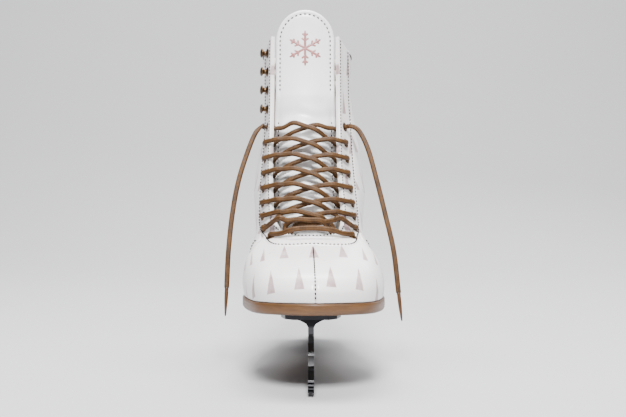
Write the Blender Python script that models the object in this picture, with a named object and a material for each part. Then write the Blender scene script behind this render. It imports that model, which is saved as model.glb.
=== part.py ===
"""A right figure skate: laced leather boot, brown sole and heel, and a blade with a toe pick.

The toe points towards -Y, +X is the inner side of the foot, and the ice is the plane z = 0.
The origin lies on the blade's running edge, under the middle of the boot.
Lengths in the tables are millimetres, and everything that is built is in metres.
"""
import math

import bmesh
import bpy
import numpy as np
from mathutils import Vector

# ---- driving dimensions, in millimetres ----
MM = 0.001
TOE_Y = -135.0              # y of the toe tip; distances behind the toe are measured from here
FIT_GAP = 0.3               # clearance between pieces that touch
LAYER_GAP = 1.1             # clearance between curved layers of the upper
FOOT_GAP = 0.6              # clearance between the upper's foot and the sole
LEATHER = 2.2               # outer leather
LINING = 1.6
FACING = 3.0                # doubled leather that holds the eyelets
COUNTER = 1.8
INSOLE = 2.5
FOOTBED = 3.5
SOLE_FRONT = 7.5            # outsole under the ball of the foot
SOLE_HEEL = 5.5
WELT = 1.0                  # outsole edge beyond the upper
BLADE_THICK = 4.0
PLATE_THICK = 3.0
FRONT_PLATE_TOP = 51.6
HEEL_PLATE_TOP = 45.0
RUNNER_TOP = 17.5
ROCKER_RADIUS = 2130.0
LACE_DIAMETER = 2.6
EYELET_HOLE = 2.1           # radius
EYELET_BARREL = 2.6         # radius
EYELET_FLANGE = 3.8         # radius
SEAT_HEIGHT = -0.1          # underside of an eyelet's flange, pressed into the leather
TONGUE_THICK = 5.5
TONGUE_HALF = 24.0
HINGE_Z = 206.0             # where the tongue bends forward
HINGE_BACK = 149.0          # distance of that bend behind the toe
KNUCKLE = 7.0               # radius of the tongue's bend
KNUCKLE_GAP = 3.0           # room for the upper part to turn in

# Horizontal sections of the boot: height, then (distance behind the toe, half width) from the
# front centre line round one side to the back centre line.
SECTIONS = (
    (60, ((1.5, 0), (9, 24), (28, 41), (70, 50), (112, 45), (155, 34.5), (212, 32), (251, 24), (266, 0))),
    (70, ((0.5, 0), (8, 24), (27, 41.5), (70, 51), (112, 46), (155, 36), (212, 34), (253, 25), (268, 0))),
    (80, ((9, 0), (15, 22), (31, 38.5), (70, 49.5), (112, 46), (155, 37.5), (212, 35.5), (254, 25), (269, 0))),
    (88, ((28, 0), (32, 19), (43, 34), (75, 46.5), (114, 45), (155, 39), (212, 36.5), (255, 26), (270, 0))),
    (94, ((51, 0), (54, 16), (62, 30), (86, 43), (118, 44), (156, 40), (212, 37.5), (255, 26), (270, 0))),
    (99, ((69, 0), (71, 13), (77, 26.5), (96, 40), (122, 43), (158, 41), (212, 38.5), (255, 26), (270, 0))),
    (104, ((80, 0), (82, 11), (87, 23), (102, 36.5), (127, 42), (160, 42), (212, 39), (254, 26), (269, 0))),
    (116, ((84, 0), (88, 14), (97, 26.5), (110, 35), (134, 42), (163, 44), (211, 41), (253, 27), (268, 0))),
    (137, ((94, 0), (100, 16), (111, 27), (122, 33.5), (144, 42), (170, 46), (209, 43), (249, 27), (264, 0))),
    (161, ((108, 0), (115, 16), (126, 27), (137, 32.5), (156, 40), (178, 44), (209, 41), (245, 25), (259, 0))),
    (189, ((122, 0), (129, 16), (139, 27), (149, 31.5), (165, 37), (184, 39.5), (210, 37), (241, 22), (253, 0))),
    (220, ((130, 0), (137, 16), (147, 27), (157, 31), (170, 35), (187, 37), (211, 35), (237, 21), (248, 0))),
    (268, ((136, 0), (143, 16), (153, 27), (163, 31), (176, 35.5), (192, 38), (213, 36), (238, 22), (250, 0))),
)
LAST = len(SECTIONS[0][1]) - 1
# Sideways lean of the last: height, then the shift of the front, the sides and the back.
LEAN = ((60, 3, -1.5, 0), (80, 2.5, -1.5, 0), (99, 1, -1.5, 0), (112, -1.8, -1.5, 0),
        (130, -3.4, -1.4, 0), (155, -4.7, -1.3, 0), (190, -4.8, -1.3, -0.5), (220, -4.8, -3, -1),
        (290, -4.8, -3.2, -1))
# Height of the sole's upper face at a distance behind the toe.
SOLE_TOP = ((0, 61.5), (30, 60.2), (70, 60), (105, 60), (150, 67), (185, 81), (215, 94), (240, 100), (270, 101.5))
# Edge of the lacing opening and outer edge of the facing: half width and height.
THROAT = ((0, 103.4), (12, 103.8), (20, 106), (25, 111), (27.2, 119), (27.5, 137), (27.5, 161), (27.5, 189),
          (27.5, 220), (27.5, 264))
FACING_EDGE = ((0, 97), (18, 96.2), (31, 96.8), (36.5, 102), (38.5, 112), (38.5, 127), (37.5, 150),
               (36, 176), (34.6, 210), (34.6, 256))
# Collar height against the place round the section, which runs from 0 in front to 8 at the back.
COLLAR = ((0, 256), (3.9, 256), (5, 254.5), (6.5, 258), (8, 262))
# Front face of the tongue on its centre line: height and distance behind the toe.
TONGUE_LINE = ((88, 56), (98, 75), (106, 87), (116, 95), (137, 108.5), (161, 123.5), (189, 136.5),
               (220, 145), (265, 150.5), (286, 151))
TONGUE_TOP = 285.5
TONGUE_DOME = 25.0
EYELETS = ((30.5, 101.5), (34.3, 108), (34.5, 117), (34.2, 127), (33.6, 138.5), (32.6, 150.5),
           (32.2, 162.5), (31.6, 175.5), (31, 189))
HOOKS = ((30.8, 204), (30.8, 220), (30.8, 235.5), (30.8, 251))

COLOURS = {
    "white_leather": ((0.82, 0.80, 0.79), 0.35, 0.0),
    "lining_leather": ((0.78, 0.74, 0.68), 0.6, 0.0),
    "stiffener": ((0.45, 0.36, 0.26), 0.8, 0.0),
    "foam": ((0.75, 0.72, 0.68), 0.9, 0.0),
    "sole_leather": ((0.30, 0.17, 0.09), 0.5, 0.0),
    "heel_rubber": ((0.05, 0.04, 0.035), 0.8, 0.0),
    "chrome_steel": ((0.75, 0.75, 0.77), 0.12, 1.0),
    "plate_steel": ((0.10, 0.10, 0.11), 0.3, 1.0),
    "bronze": ((0.10, 0.06, 0.035), 0.35, 1.0),
    "screw_steel": ((0.55, 0.55, 0.56), 0.3, 1.0),
    "brown_lace": ((0.22, 0.12, 0.055), 0.7, 0.0),
}


def clear_scene():
    for old in list(bpy.data.objects):
        bpy.data.objects.remove(old)


def material(name):
    found = bpy.data.materials.get(name)
    if found:
        return found
    colour, roughness, metallic = COLOURS[name]
    made = bpy.data.materials.new(name)
    made.use_nodes = True
    shader = made.node_tree.nodes["Principled BSDF"]
    shader.inputs["Base Color"].default_value = (*colour, 1.0)
    shader.inputs["Roughness"].default_value = roughness
    shader.inputs["Metallic"].default_value = metallic
    return made


def add_object(name, data, finish, parent=None):
    made = bpy.data.objects.new(name, data)
    bpy.context.collection.objects.link(made)
    own = material(finish).copy()
    own.name = name + "_" + finish
    data.materials.append(own)
    if parent:
        made.parent = parent
        made.matrix_parent_inverse = parent.matrix_world.inverted()
    return made


def solid(name, points, faces, finish, parent=None, smooth=True):
    """A closed mesh from points in millimetres; doubled points are merged, faces turned out."""
    mesh = bpy.data.meshes.new(name)
    build = bmesh.new()
    corners = [build.verts.new(Vector(point) * MM) for point in points]
    for face in faces:
        build.faces.new([corners[index] for index in face])
    bmesh.ops.remove_doubles(build, verts=build.verts, dist=0.02 * MM)
    bmesh.ops.triangulate(build, faces=build.faces)
    bmesh.ops.recalc_face_normals(build, faces=build.faces)
    if build.calc_volume(signed=True) < 0:
        bmesh.ops.reverse_faces(build, faces=build.faces)
    build.to_mesh(mesh)
    build.free()
    if smooth:
        mesh.shade_smooth()
        mesh.set_sharp_from_angle(angle=math.radians(40))
    return add_object(name, mesh, finish, parent)


# ---- the boot's surface ----
def spline(rows, at):
    """A smooth curve through evenly numbered rows; at runs from 0 to len(rows) - 1."""
    low = min(max(int(math.floor(at)), 0), len(rows) - 2)
    part = at - low
    before = rows[low - 1] if low else 2 * rows[0] - rows[1]
    after = rows[low + 2] if low + 2 < len(rows) else 2 * rows[-1] - rows[-2]
    here, there = rows[low], rows[low + 1]
    return 0.5 * (2 * here + (there - before) * part
                  + (2 * before - 5 * here + 4 * there - after) * part ** 2
                  + (3 * here - before - 3 * there + after) * part ** 3)


def smooth_table(table, at):
    """A smooth value from (place, value) pairs: cubic, with the slope of the neighbours."""
    places = [row[0] for row in table]
    at = min(max(at, places[0]), places[-1])
    low = max(index for index in range(len(places) - 1) if places[index] <= at)
    slopes = [(table[min(i + 1, len(table) - 1)][1] - table[max(i - 1, 0)][1])
              / (places[min(i + 1, len(table) - 1)] - places[max(i - 1, 0)]) for i in (low, low + 1)]
    width = places[low + 1] - places[low]
    part = (at - places[low]) / width
    start, end = table[low][1], table[low + 1][1]
    return (start * (1 + 2 * part) * (1 - part) ** 2 + end * part ** 2 * (3 - 2 * part)
            + width * part * (1 - part) * (slopes[0] * (1 - part) - slopes[1] * part))


HEIGHTS = np.array([row[0] for row in SECTIONS], float)
RINGS = np.array([row[1] for row in SECTIONS], float)


def ring_at(height):
    """The section's control points at a height."""
    place = float(np.interp(height, HEIGHTS, np.arange(len(HEIGHTS))))
    low = min(int(place), len(HEIGHTS) - 2)
    width = HEIGHTS[low + 1] - HEIGHTS[low]
    part = (height - HEIGHTS[low]) / width

    def slope(index):
        first, last = max(index - 1, 0), min(index + 1, len(HEIGHTS) - 1)
        return (RINGS[last] - RINGS[first]) / (HEIGHTS[last] - HEIGHTS[first])
    return (RINGS[low] * (1 + 2 * part) * (1 - part) ** 2 + RINGS[low + 1] * part ** 2 * (3 - 2 * part)
            + width * part * (1 - part) * (slope(low) * (1 - part) - slope(low + 1) * part))


def section_point(place, height):
    """Distance behind the toe and half width, at a place from 0 (front) to 8 (back)."""
    ring = ring_at(height)
    flip = np.array([1.0, -1.0])
    rows = np.vstack([ring[1] * flip, ring, ring[-2] * flip])
    return spline(rows, place + 1)


def lean(place, height):
    front, side, back = (smooth_table([(row[0], row[column]) for row in LEAN], height)
                         for column in (1, 2, 3))
    to_side = min(max((place - 2.2) / 2.3, 0.0), 1.0)
    to_back = max((place - 5.0) / 3.0, 0.0)
    to_side = to_side ** 2 * (3 - 2 * to_side)
    to_back = to_back ** 2 * (3 - 2 * to_back)
    return front + (side - front) * to_side + (back - side) * to_back


def surface(place, height):
    """The outer surface. Place runs 0 to 8 round the +X side and on to 16 round the -X side."""
    place = place % (2 * LAST)
    side = 1.0
    if place > LAST:
        place, side = 2 * LAST - place, -1.0
    behind, half = section_point(place, height)
    return np.array([lean(place, height) + side * half, TOE_Y + behind, height])


def outward(place, height):
    step = 0.02
    along = surface(place + step, height) - surface(place - step, height)
    up = surface(place, height + 0.5) - surface(place, height - 0.5)
    normal = np.cross(along, up)
    return normal / np.linalg.norm(normal)


def offset(place, height, rise):
    return surface(place, height) + rise * outward(place, height)


def place_of(half, height, last=5.0):
    """The place in front of the widest part where the section has a given half width."""
    low, high = 0.0, last
    for _ in range(30):
        middle = (low + high) / 2
        if section_point(middle, height)[1] < half:
            low = middle
        else:
            high = middle
    return (low + high) / 2


def curve_pair(table, part):
    """Half width and height on a curve of pairs, smoothed, part from 0 to 1."""
    return spline(np.array(table, float), part * (len(table) - 1))


def sole_top(behind):
    return smooth_table(SOLE_TOP, behind)


def feather(place):
    """Height of the sole's upper face under a place of the upper."""
    height = 80.0
    for _ in range(8):
        height = sole_top(section_point(min(place, 2 * LAST - place), height)[0])
    return height


def on_side(side, place):
    return place if side > 0 else 2 * LAST - place


def sheet(name, grid, finish, outer, inner, parent=None):
    """A shell from a grid of (place, height), thick from the inner to the outer rise."""
    rows, columns = len(grid), len(grid[0])
    points = []
    for rise in (outer, inner):
        for row in grid:
            for place, height in row:
                value = rise(place, height) if callable(rise) else rise
                points.append(offset(place, height, value))
    return solid(name, points, shell_faces(rows, columns), finish, parent)


def shell_faces(rows, columns):
    def at(layer, row, column):
        return (layer * rows + row) * columns + column
    faces = []
    for row in range(rows - 1):
        for column in range(columns - 1):
            quad = ((row, column), (row, column + 1), (row + 1, column + 1), (row + 1, column))
            faces.append([at(0, *corner) for corner in quad])
            faces.append([at(1, *corner) for corner in reversed(quad)])
    rim = [(0, c) for c in range(columns)] + [(r, columns - 1) for r in range(1, rows)]
    rim += [(rows - 1, c) for c in range(columns - 2, -1, -1)] + [(r, 0) for r in range(rows - 2, 0, -1)]
    for first, second in zip(rim, rim[1:] + rim[:1]):
        faces.append([at(0, *second), at(0, *first), at(1, *first), at(1, *second)])
    return faces


def steps(start, end, count):
    return [start + (end - start) * index / (count - 1) for index in range(count)]


# ---- panels of the upper ----
SEAM_PART = 0.33            # where the vamp's seam meets the facing, along its outer edge
SEAM_FOOT_BEHIND = 120.0    # where it meets the sole, behind the toe
QUARTER_ROWS = (72, 84, 94, 101.5, 104.5, 109, 116, 126, 140, 158, 180, 205, 231)
CENTRE_GAP = 0.003          # half the gap between two panels on a centre line, in places


def facing_outer(part):
    half, height = curve_pair(FACING_EDGE, part)
    return place_of(half, height), height


def facing_inner(part):
    half, height = curve_pair(THROAT, part)
    return place_of(half, height), height


def place_behind(behind, height):
    """The place on one side where the section lies a given distance behind the toe."""
    low, high = 1.0, 7.5
    for _ in range(30):
        middle = (low + high) / 2
        if section_point(middle, height)[0] < behind:
            low = middle
        else:
            high = middle
    return (low + high) / 2


def seam_place(height):
    """Front edge of the quarter: the vamp's seam below, the facing's outer edge above."""
    seam_top, seam_height = facing_outer(SEAM_PART)
    if height <= seam_height:
        top_behind = section_point(seam_top, seam_height)[0]
        part = (height - 60.0) / (seam_height - 60.0)
        return place_behind(SEAM_FOOT_BEHIND + (top_behind - SEAM_FOOT_BEHIND) * part, height)
    first, last = SEAM_PART, 1.0
    for _ in range(24):
        middle = (first + last) / 2
        if curve_pair(FACING_EDGE, middle)[1] < height:
            first = middle
        else:
            last = middle
    return facing_outer((first + last) / 2)[0]


def build_vamp(side, name):
    columns, rows = 13, 9
    grid = []
    foot_last = seam_place(60.6)
    for up in steps(0, 1, rows):
        row = []
        for along in steps(0, 1, columns):
            foot = CENTRE_GAP + (foot_last - CENTRE_GAP) * along
            top_place, top_height = facing_outer(0.002 + (SEAM_PART - 0.002) * along)
            top_height -= 0.25
            low = feather(foot) + FOOT_GAP
            height = low + (top_height - low) * up
            place = foot + (max(top_place, CENTRE_GAP) - foot) * up
            if along > 0.99:
                place = seam_place(height)
            row.append((on_side(side, place), height))
        grid.append(row)
    return sheet(name, grid, "white_leather", 0, -LEATHER)


def collar_height(place):
    return smooth_table(COLLAR, place)


def build_quarter(side, name):
    columns = 17
    low_front, high_front = feather(seam_place(60.6)) + FOOT_GAP, collar_height(3)
    grid = []
    for height in [low_front] + list(QUARTER_ROWS) + [high_front]:
        up = (height - low_front) / (high_front - low_front)
        edge = seam_place(height) + (0.12 if height < 103 else 0.06)
        row = []
        for along in steps(0, 1, columns):
            place = edge + (LAST - CENTRE_GAP - edge) * along
            low = feather(place) + FOOT_GAP
            row.append((on_side(side, place), low + (collar_height(place) - low) * up))
        grid.append(row)
    return sheet(name, grid, "white_leather", 0, -LEATHER)


def facing_grid(side, count):
    grid = []
    for part in steps(0.001, 1, count):
        outer_place, outer_height = facing_outer(part)
        inner_place, inner_height = facing_inner(part)
        row = []
        for across in steps(0, 1, 4):
            place = outer_place + (inner_place - outer_place) * across
            height = outer_height + (inner_height - outer_height) * across
            row.append((on_side(side, max(place, CENTRE_GAP)), height))
        grid.append(row)
    return grid


def build_facing(side, name):
    made = sheet(name, facing_grid(side, 24), "white_leather", 0, -FACING)
    for number, (half, height) in enumerate(EYELETS):
        place = on_side(side, place_of(half, height))
        axis = Vector(outward(place, height))
        bore, seat = EYELET_BARREL + 0.25, EYELET_FLANGE + 0.3
        cutter = turned(f"{name}_hole_{number + 1}", ((-8, 0), (-8, bore), (SEAT_HEIGHT - 0.3, bore),
                                                      (SEAT_HEIGHT - 0.3, seat), (8, seat), (8, 0)),
                        surface(place, height), axis, "bronze", 8)
        cut(made, cutter)
    return made


def turned(name, profile, centre, axis, finish, sides, parent=None):
    """A solid turned about an axis; the profile is (along the axis, radius) pairs."""
    rotation = Vector((0, 0, 1)).rotation_difference(Vector(axis))
    points, faces, rings = [], [], []
    for along, radius in profile:
        ring = []
        for index in range(sides if radius > 1e-6 else 1):
            angle = 2 * math.pi * index / sides
            local = Vector((radius * math.cos(angle), radius * math.sin(angle), along))
            ring.append(len(points))
            points.append(Vector(centre) + rotation @ local)
        rings.append(ring)
    closed = profile[0][1] > 1e-6
    pairs = list(zip(rings, rings[1:] + rings[:1])) if closed else list(zip(rings, rings[1:]))
    for first, second in pairs:
        for index in range(sides):
            after = (index + 1) % sides
            quad = [first[index % len(first)], first[after % len(first)],
                    second[after % len(second)], second[index % len(second)]]
            quad = list(dict.fromkeys(quad))
            if len(quad) > 2:
                faces.append(quad)
    return solid(name, points, faces, finish, parent)


def cut(target, cutter):
    cutter.hide_render = True
    cutter.display_type = "WIRE"
    tool = target.modifiers.new(cutter.name, "BOOLEAN")
    tool.operation = "DIFFERENCE"
    tool.solver = "EXACT"
    tool.object = cutter


def round_the_back(name, first, rows, columns, low, high, finish, outer, inner):
    """A panel across the heel, from a place on one side to the same place on the other."""
    grid = []
    for up in steps(0, 1, rows):
        row = []
        for place in steps(first, 2 * LAST - first, columns):
            near = min(place, 2 * LAST - place)
            bottom, top = low(near), high(near)
            row.append((place, bottom + (top - bottom) * up))
        grid.append(row)
    return sheet(name, grid, finish, outer, inner)


COUNTER_FIRST = 5.7
COUNTER_TOP = 150.0
COLLAR_LOW = 30.0           # depth of the collar padding below the collar's edge


def counter_rise(place, height):
    """How far the lining steps in over the heel counter."""
    near = min(place, 2 * LAST - place)
    across = min(max((near - COUNTER_FIRST + 0.5) / 0.5, 0.0), 1.0)
    up = min(max((COUNTER_TOP + 8 - height) / 8, 0.0), 1.0)
    return (COUNTER + LAYER_GAP) * across * up


def build_back():
    round_the_back("heel_counter", COUNTER_FIRST, 5, 17, lambda place: feather(place) + 4.2,
                   lambda place: COUNTER_TOP - 14 * ((LAST - place) / (LAST - COUNTER_FIRST)) ** 2,
                   "stiffener", -LEATHER - LAYER_GAP, -LEATHER - LAYER_GAP - COUNTER)
    start = -LEATHER - LAYER_GAP
    round_the_back("lining", 4.3, 9, 27, lambda place: feather(place) + 4.2,
                   lambda place: collar_height(place) - COLLAR_LOW - FIT_GAP, "lining_leather",
                   lambda place, height: start - counter_rise(place, height),
                   lambda place, height: start - LINING - counter_rise(place, height))
    round_the_back("collar_padding", 4.3, 4, 25, lambda place: collar_height(place) - COLLAR_LOW,
                   lambda place: collar_height(place) - 1.0, "foam", start, start - 5.0)
    strip = 7.55
    round_the_back("backstay", strip, 11, 5, lambda place: feather(place) + 1.0,
                   lambda place: collar_height(place) - 2.0, "white_leather", FOOT_GAP + 1.5, FOOT_GAP)


def build_toe_puff():
    grid = []
    for up in steps(0, 1, 5):
        row = []
        for place in steps(-2.4, 2.4, 13):
            near = abs(place)
            low = feather(near) + 4.2
            row.append((place % (2 * LAST), low + (86 - 3.5 * (near / 2.4) ** 2 - low) * up))
        grid.append(row)
    sheet("toe_puff", grid, "stiffener", -LEATHER - LAYER_GAP, -LEATHER - LAYER_GAP - 1.5)


# ---- sole, insole and heel ----
def outline_row(place, rise):
    """Left and right points of the sole's outline at a place, moved out by a rise."""
    height = feather(place)
    here = surface(place, height)
    step = 0.05
    ahead, back = surface(min(place + step, LAST), height), surface(max(place - step, 0), height)
    along = (ahead - back)[:2]
    normal = np.array([along[1], -along[0]]) / np.linalg.norm(along)
    other = surface(on_side(-1, place), height)
    right = here[:2] + normal * rise
    left = other[:2] + normal * np.array([-1, 1]) * rise
    return left, right


def slab(name, places, rise, top, bottom, finish):
    """A plate with the sole's outline between two heights, which depend on the distance behind."""
    points, faces = [], []
    for place in places:
        left, right = outline_row(place, rise)
        for x, y in (left, right):
            points.append((x, y, top(y - TOE_Y)))
            points.append((x, y, bottom(y - TOE_Y)))
    for index in range(len(places) - 1):
        a, b = 4 * index, 4 * index + 4
        faces += [[a, a + 2, b + 2, b], [a + 1, b + 1, b + 3, a + 3],
                  [a, b, b + 1, a + 1], [a + 2, a + 3, b + 3, b + 2]]
    last = 4 * (len(places) - 1)
    faces += [[0, 1, 3, 2], [last, last + 2, last + 3, last + 1]]
    return solid(name, points, faces, finish)


def sole_thickness(behind):
    return smooth_table(((0, SOLE_FRONT), (110, SOLE_FRONT), (185, SOLE_HEEL), (270, SOLE_HEEL)), behind)


def sole_under(behind):
    return sole_top(behind) - sole_thickness(behind)


def end_places(first, last, count):
    """Places along the outline, closer together round the toe and the heel."""
    return [first + (last - first) * (part - 0.7 * math.sin(2 * math.pi * part) / (2 * math.pi))
            for part in steps(0, 1, count)]


def build_sole():
    outsole = slab("outsole", end_places(0.05, LAST - 0.05, 35), WELT, sole_top, sole_under,
                   "sole_leather")
    slab("insole_board", end_places(0.12, LAST - 0.12, 27), -LEATHER - 2 * FOOT_GAP,
         lambda behind: sole_top(behind) + FOOT_GAP + INSOLE,
         lambda behind: sole_top(behind) + FOOT_GAP, "stiffener")
    bed = 2 * FOOT_GAP + INSOLE
    slab("footbed", end_places(0.4, LAST - 0.4, 25), -9.5,
         lambda behind: sole_top(behind) + bed + FOOTBED, lambda behind: sole_top(behind) + bed,
         "foam")
    return outsole


HEEL_BREAST_TOP = 184.0
HEEL_BREAST_LOW = 197.0
HEEL_FIRST_PLACE = 5.3
HEEL_TAPER = 2.1
CAP_THICK = 5.0


def heel_ring(height):
    """Outline of the heel at a height, from the breast round the back and to the breast."""
    high = sole_under(HEEL_BREAST_TOP)
    drop = min(max((high - height) / (high - HEEL_PLATE_TOP), 0.0), 1.0)
    breast = HEEL_BREAST_TOP + (HEEL_BREAST_LOW - HEEL_BREAST_TOP) * drop
    taper = HEEL_TAPER * math.sin(math.pi / 2 * drop)
    ring = [outline_row(place, -taper) for place in steps(HEEL_FIRST_PLACE, LAST - 0.02, 13)]
    rights = [(right[0], max(right[1] - TOE_Y, breast)) for _, right in ring]
    lefts = [(left[0], max(left[1] - TOE_Y, breast)) for left, _ in ring]
    return rights + lefts[::-1]


def heel_piece(name, low, high_of, finish, levels):
    points, faces = [], []
    count = 0
    for level in range(levels):
        part = level / (levels - 1)
        outline = heel_ring(low + (sole_under(230) - low) * part if callable(high_of) else
                            low + (high_of - low) * part)
        count = len(outline)
        for x, behind in outline:
            high = high_of(behind) if callable(high_of) else high_of
            points.append((x, TOE_Y + behind, low + (high - low) * part))
    for level in range(levels - 1):
        for index in range(count):
            after = (index + 1) % count
            base = level * count
            faces.append([base + index, base + after, base + count + after, base + count + index])
    faces.append(list(range(count))[::-1])
    faces.append([(levels - 1) * count + index for index in range(count)])
    return solid(name, points, faces, finish)


def build_heel():
    cap = heel_piece("heel_cap", HEEL_PLATE_TOP + FIT_GAP, HEEL_PLATE_TOP + FIT_GAP + CAP_THICK,
                     "heel_rubber", 2)
    block = heel_piece("heel_block", HEEL_PLATE_TOP + 2 * FIT_GAP + CAP_THICK,
                       lambda behind: sole_under(behind) - FOOT_GAP, "sole_leather", 6)
    return cap, block


# ---- blade ----
def profile_solid(name, outline, half_thick, finish):
    """A sheet in the blade's plane; the outline is (distance behind the toe, height) pairs."""
    count = len(outline)
    points = [(side * half_thick, TOE_Y + behind, height)
              for side in (-1, 1) for behind, height in outline]
    faces = [list(range(count)), list(range(count, 2 * count))[::-1]]
    for index in range(count):
        after = (index + 1) % count
        faces.append([index, index + count, after + count, after])
    return solid(name, points, faces, finish, smooth=False)


def arc_points(start, end, bulge, count):
    """Points on a bowed line between two points; bulge is its height to the left of the chord."""
    (x0, y0), (x1, y1) = start, end
    length = math.hypot(x1 - x0, y1 - y0)
    normal = (-(y1 - y0) / length, (x1 - x0) / length)
    return [(x0 + (x1 - x0) * part + normal[0] * bulge * 4 * part * (1 - part),
             y0 + (y1 - y0) * part + normal[1] * bulge * 4 * part * (1 - part))
            for part in steps(0, 1, count)]


EDGE_MIDDLE = -TOE_Y
EDGE_FIRST = 26.0
EDGE_LAST = 274.0
FACET_HALF = 9.0


def rocker(behind):
    """Height of the running edge: a long arc, flat for a short way under the middle."""
    away = max(abs(behind - EDGE_MIDDLE) - FACET_HALF, 0.0)
    return ROCKER_RADIUS - math.sqrt(ROCKER_RADIUS ** 2 - away ** 2)


def build_runner():
    edge = [(behind, rocker(behind)) for behind in steps(EDGE_LAST, EDGE_MIDDLE + FACET_HALF, 9)]
    edge += [(behind, rocker(behind)) for behind in steps(EDGE_MIDDLE - FACET_HALF, EDGE_FIRST, 8)]
    teeth = [(22.0, 3.4), (14.0, 1.6)]
    for number in range(4):
        teeth += [(8.6 - 0.5 * number, 2.6 + 2.3 * number), (6.4 - 0.3 * number, 3.1 + 2.3 * number)]
    crest = [(6.2, 11.4), (20.0, 15.2)] + arc_points((24.0, RUNNER_TOP), (272.0, RUNNER_TOP), 0, 3)
    tail = arc_points((272.0, RUNNER_TOP), (279.0, 7.5), 2.0, 5)[1:] + [(277.5, rocker(EDGE_LAST) + 1.5)]
    return profile_solid("blade_runner", edge + teeth + crest + tail, BLADE_THICK / 2, "chrome_steel")


def build_stanchion(name, low_front, low_back, high_front, high_back, high, flare, bow):
    """An upright sheet between runner and plate that flares out to a wide flange at the top."""
    low = RUNNER_TOP + FIT_GAP
    levels = (0.0, 0.2, 0.45, 0.65, 0.80, 0.88, 0.95, 1.0)
    widths = (2.0, 2.0, 2.0, 2.0, 2.0, 3.2, 6.8, flare)
    points, faces = [], []
    cross = 6
    for part, wide in zip(levels, widths):
        height = low + (high - low) * part
        pinch = bow * 4 * part * (1 - part)
        front = low_front + (high_front - low_front) * part + pinch
        back = low_back + (high_back - low_back) * part - pinch
        for side in (1, -1):
            row = steps(front, back, cross // 2 + 1) if side > 0 else steps(back, front, cross // 2 + 1)
            points += [(side * wide, TOE_Y + behind, height) for behind in row]
    ring = 2 * (cross // 2 + 1)
    for level in range(len(levels) - 1):
        for index in range(ring):
            after = (index + 1) % ring
            base = level * ring
            faces.append([base + index, base + after, base + ring + after, base + ring + index])
    faces.append(list(range(ring))[::-1])
    faces.append([(len(levels) - 1) * ring + index for index in range(ring)])
    return solid(name, points, faces, "chrome_steel")


FRONT_PLATE = ((22, 12), (27, 17.5), (38, 20.5), (55, 21), (75, 20), (92, 16), (103, 10))
HEEL_PLATE = ((200, 12), (206, 16), (218, 18.5), (236, 18.5), (250, 14), (257, 7))
FRONT_SCREWS = ((30, 9.5), (30, -9.5), (58, 15.5), (58, -15.5), (94, 0))
HEEL_SCREWS = ((209, 11), (209, -11), (247, 9), (247, -9))


def build_plate(name, half_widths, top):
    """A flat plate with rounded ends, from (distance behind, half width) pairs."""
    outline = [(half, behind) for behind, half in half_widths]
    outline += [(-half, behind) for behind, half in reversed(half_widths)]
    count = len(outline)
    points = [(x, TOE_Y + behind, height) for height in (top - PLATE_THICK, top) for x, behind in outline]
    faces = [list(range(count))[::-1], list(range(count, 2 * count))]
    for index in range(count):
        after = (index + 1) % count
        faces.append([index, after, after + count, index + count])
    return solid(name, points, faces, "plate_steel", smooth=False)


SCREW_HEAD = 3.9
SCREW_SHANK = 2.0


def build_screws(prefix, spots, plate, top, length, bored):
    """Countersunk screws from below: each plate hole is a cone, and the sole has a pilot bore."""
    low = top - PLATE_THICK
    for number, (behind, x) in enumerate(spots):
        centre = (x, TOE_Y + behind, low)
        name = f"{prefix}_screw_{number + 1}"
        turned(name, ((0.25, 0), (0.25, SCREW_HEAD), (2.3, SCREW_SHANK), (length - 1.5, SCREW_SHANK),
                      (length, 0)), centre, (0, 0, 1), "screw_steel", 8)
        grown = FIT_GAP / 2
        cutter = turned(name + "_bore", ((-1, 0), (-1, SCREW_HEAD + grown + 0.4), (0.25, SCREW_HEAD + grown + 0.1),
                                         (2.3 + grown, SCREW_SHANK + grown + 0.1),
                                         (length - 1.5 + grown, SCREW_SHANK + grown + 0.1),
                                         (length + 2 * grown, 0)), centre, (0, 0, 1), "screw_steel", 8)
        for target in [plate] + bored:
            cut(target, cutter)


# ---- eyelets and hooks ----
def build_eyelets():
    profile = ((0.15, EYELET_HOLE), (0.85, EYELET_HOLE + 0.5), (0.95, EYELET_FLANGE - 0.9),
               (SEAT_HEIGHT, EYELET_FLANGE), (SEAT_HEIGHT, EYELET_BARREL),
               (-FACING - 0.7, EYELET_BARREL), (-FACING - 0.7, EYELET_HOLE))
    for side, word in ((-1, "left"), (1, "right")):
        for number, (half, height) in enumerate(EYELETS):
            place = on_side(side, place_of(half, height))
            turned(f"eyelet_{word}_{number + 1}", profile, surface(place, height),
                   outward(place, height), "bronze", 8)


def build_hooks():
    """Speed hooks: a rivet foot on the leather, a neck and a small outer plate."""
    profile = ((0.3, 0), (0.3, 3.7), (1.4, 3.5), (1.9, 2.0), (4.2, 2.0), (4.8, 3.3), (6.2, 3.2), (6.5, 0))
    for number, (half, height) in enumerate(HOOKS):
        place = on_side(-1, place_of(half, height))
        turned(f"lace_hook_{number + 1}", profile, surface(place, height), outward(place, height),
               "bronze", 12)


# ---- tongue ----
def tongue_centre(height):
    return smooth_table([(row[0], row[1]) for row in LEAN], height)


def tongue_point(across, height, depth):
    """A point of the tongue: across from the centre line, and a depth behind its front face."""
    bow = 4.0 * (across / 25.0) ** 2
    tilt = (smooth_table(TONGUE_LINE, height + 2) - smooth_table(TONGUE_LINE, height - 2)) / 4
    length = math.hypot(1.0, tilt)
    return np.array([tongue_centre(height) + across,
                     TOE_Y + smooth_table(TONGUE_LINE, height) + bow + depth / length,
                     height - depth * tilt / length])


def lower_depth(across, height):
    """The lower tongue lies deeper towards its edges, to leave room for the inner runs of lace."""
    tuck = max(0.0, min(1.0, (118.0 - height) / 14.0))
    return 1.5 + 4.5 * (across / 25.0) ** 2 + 3.0 * tuck


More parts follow.
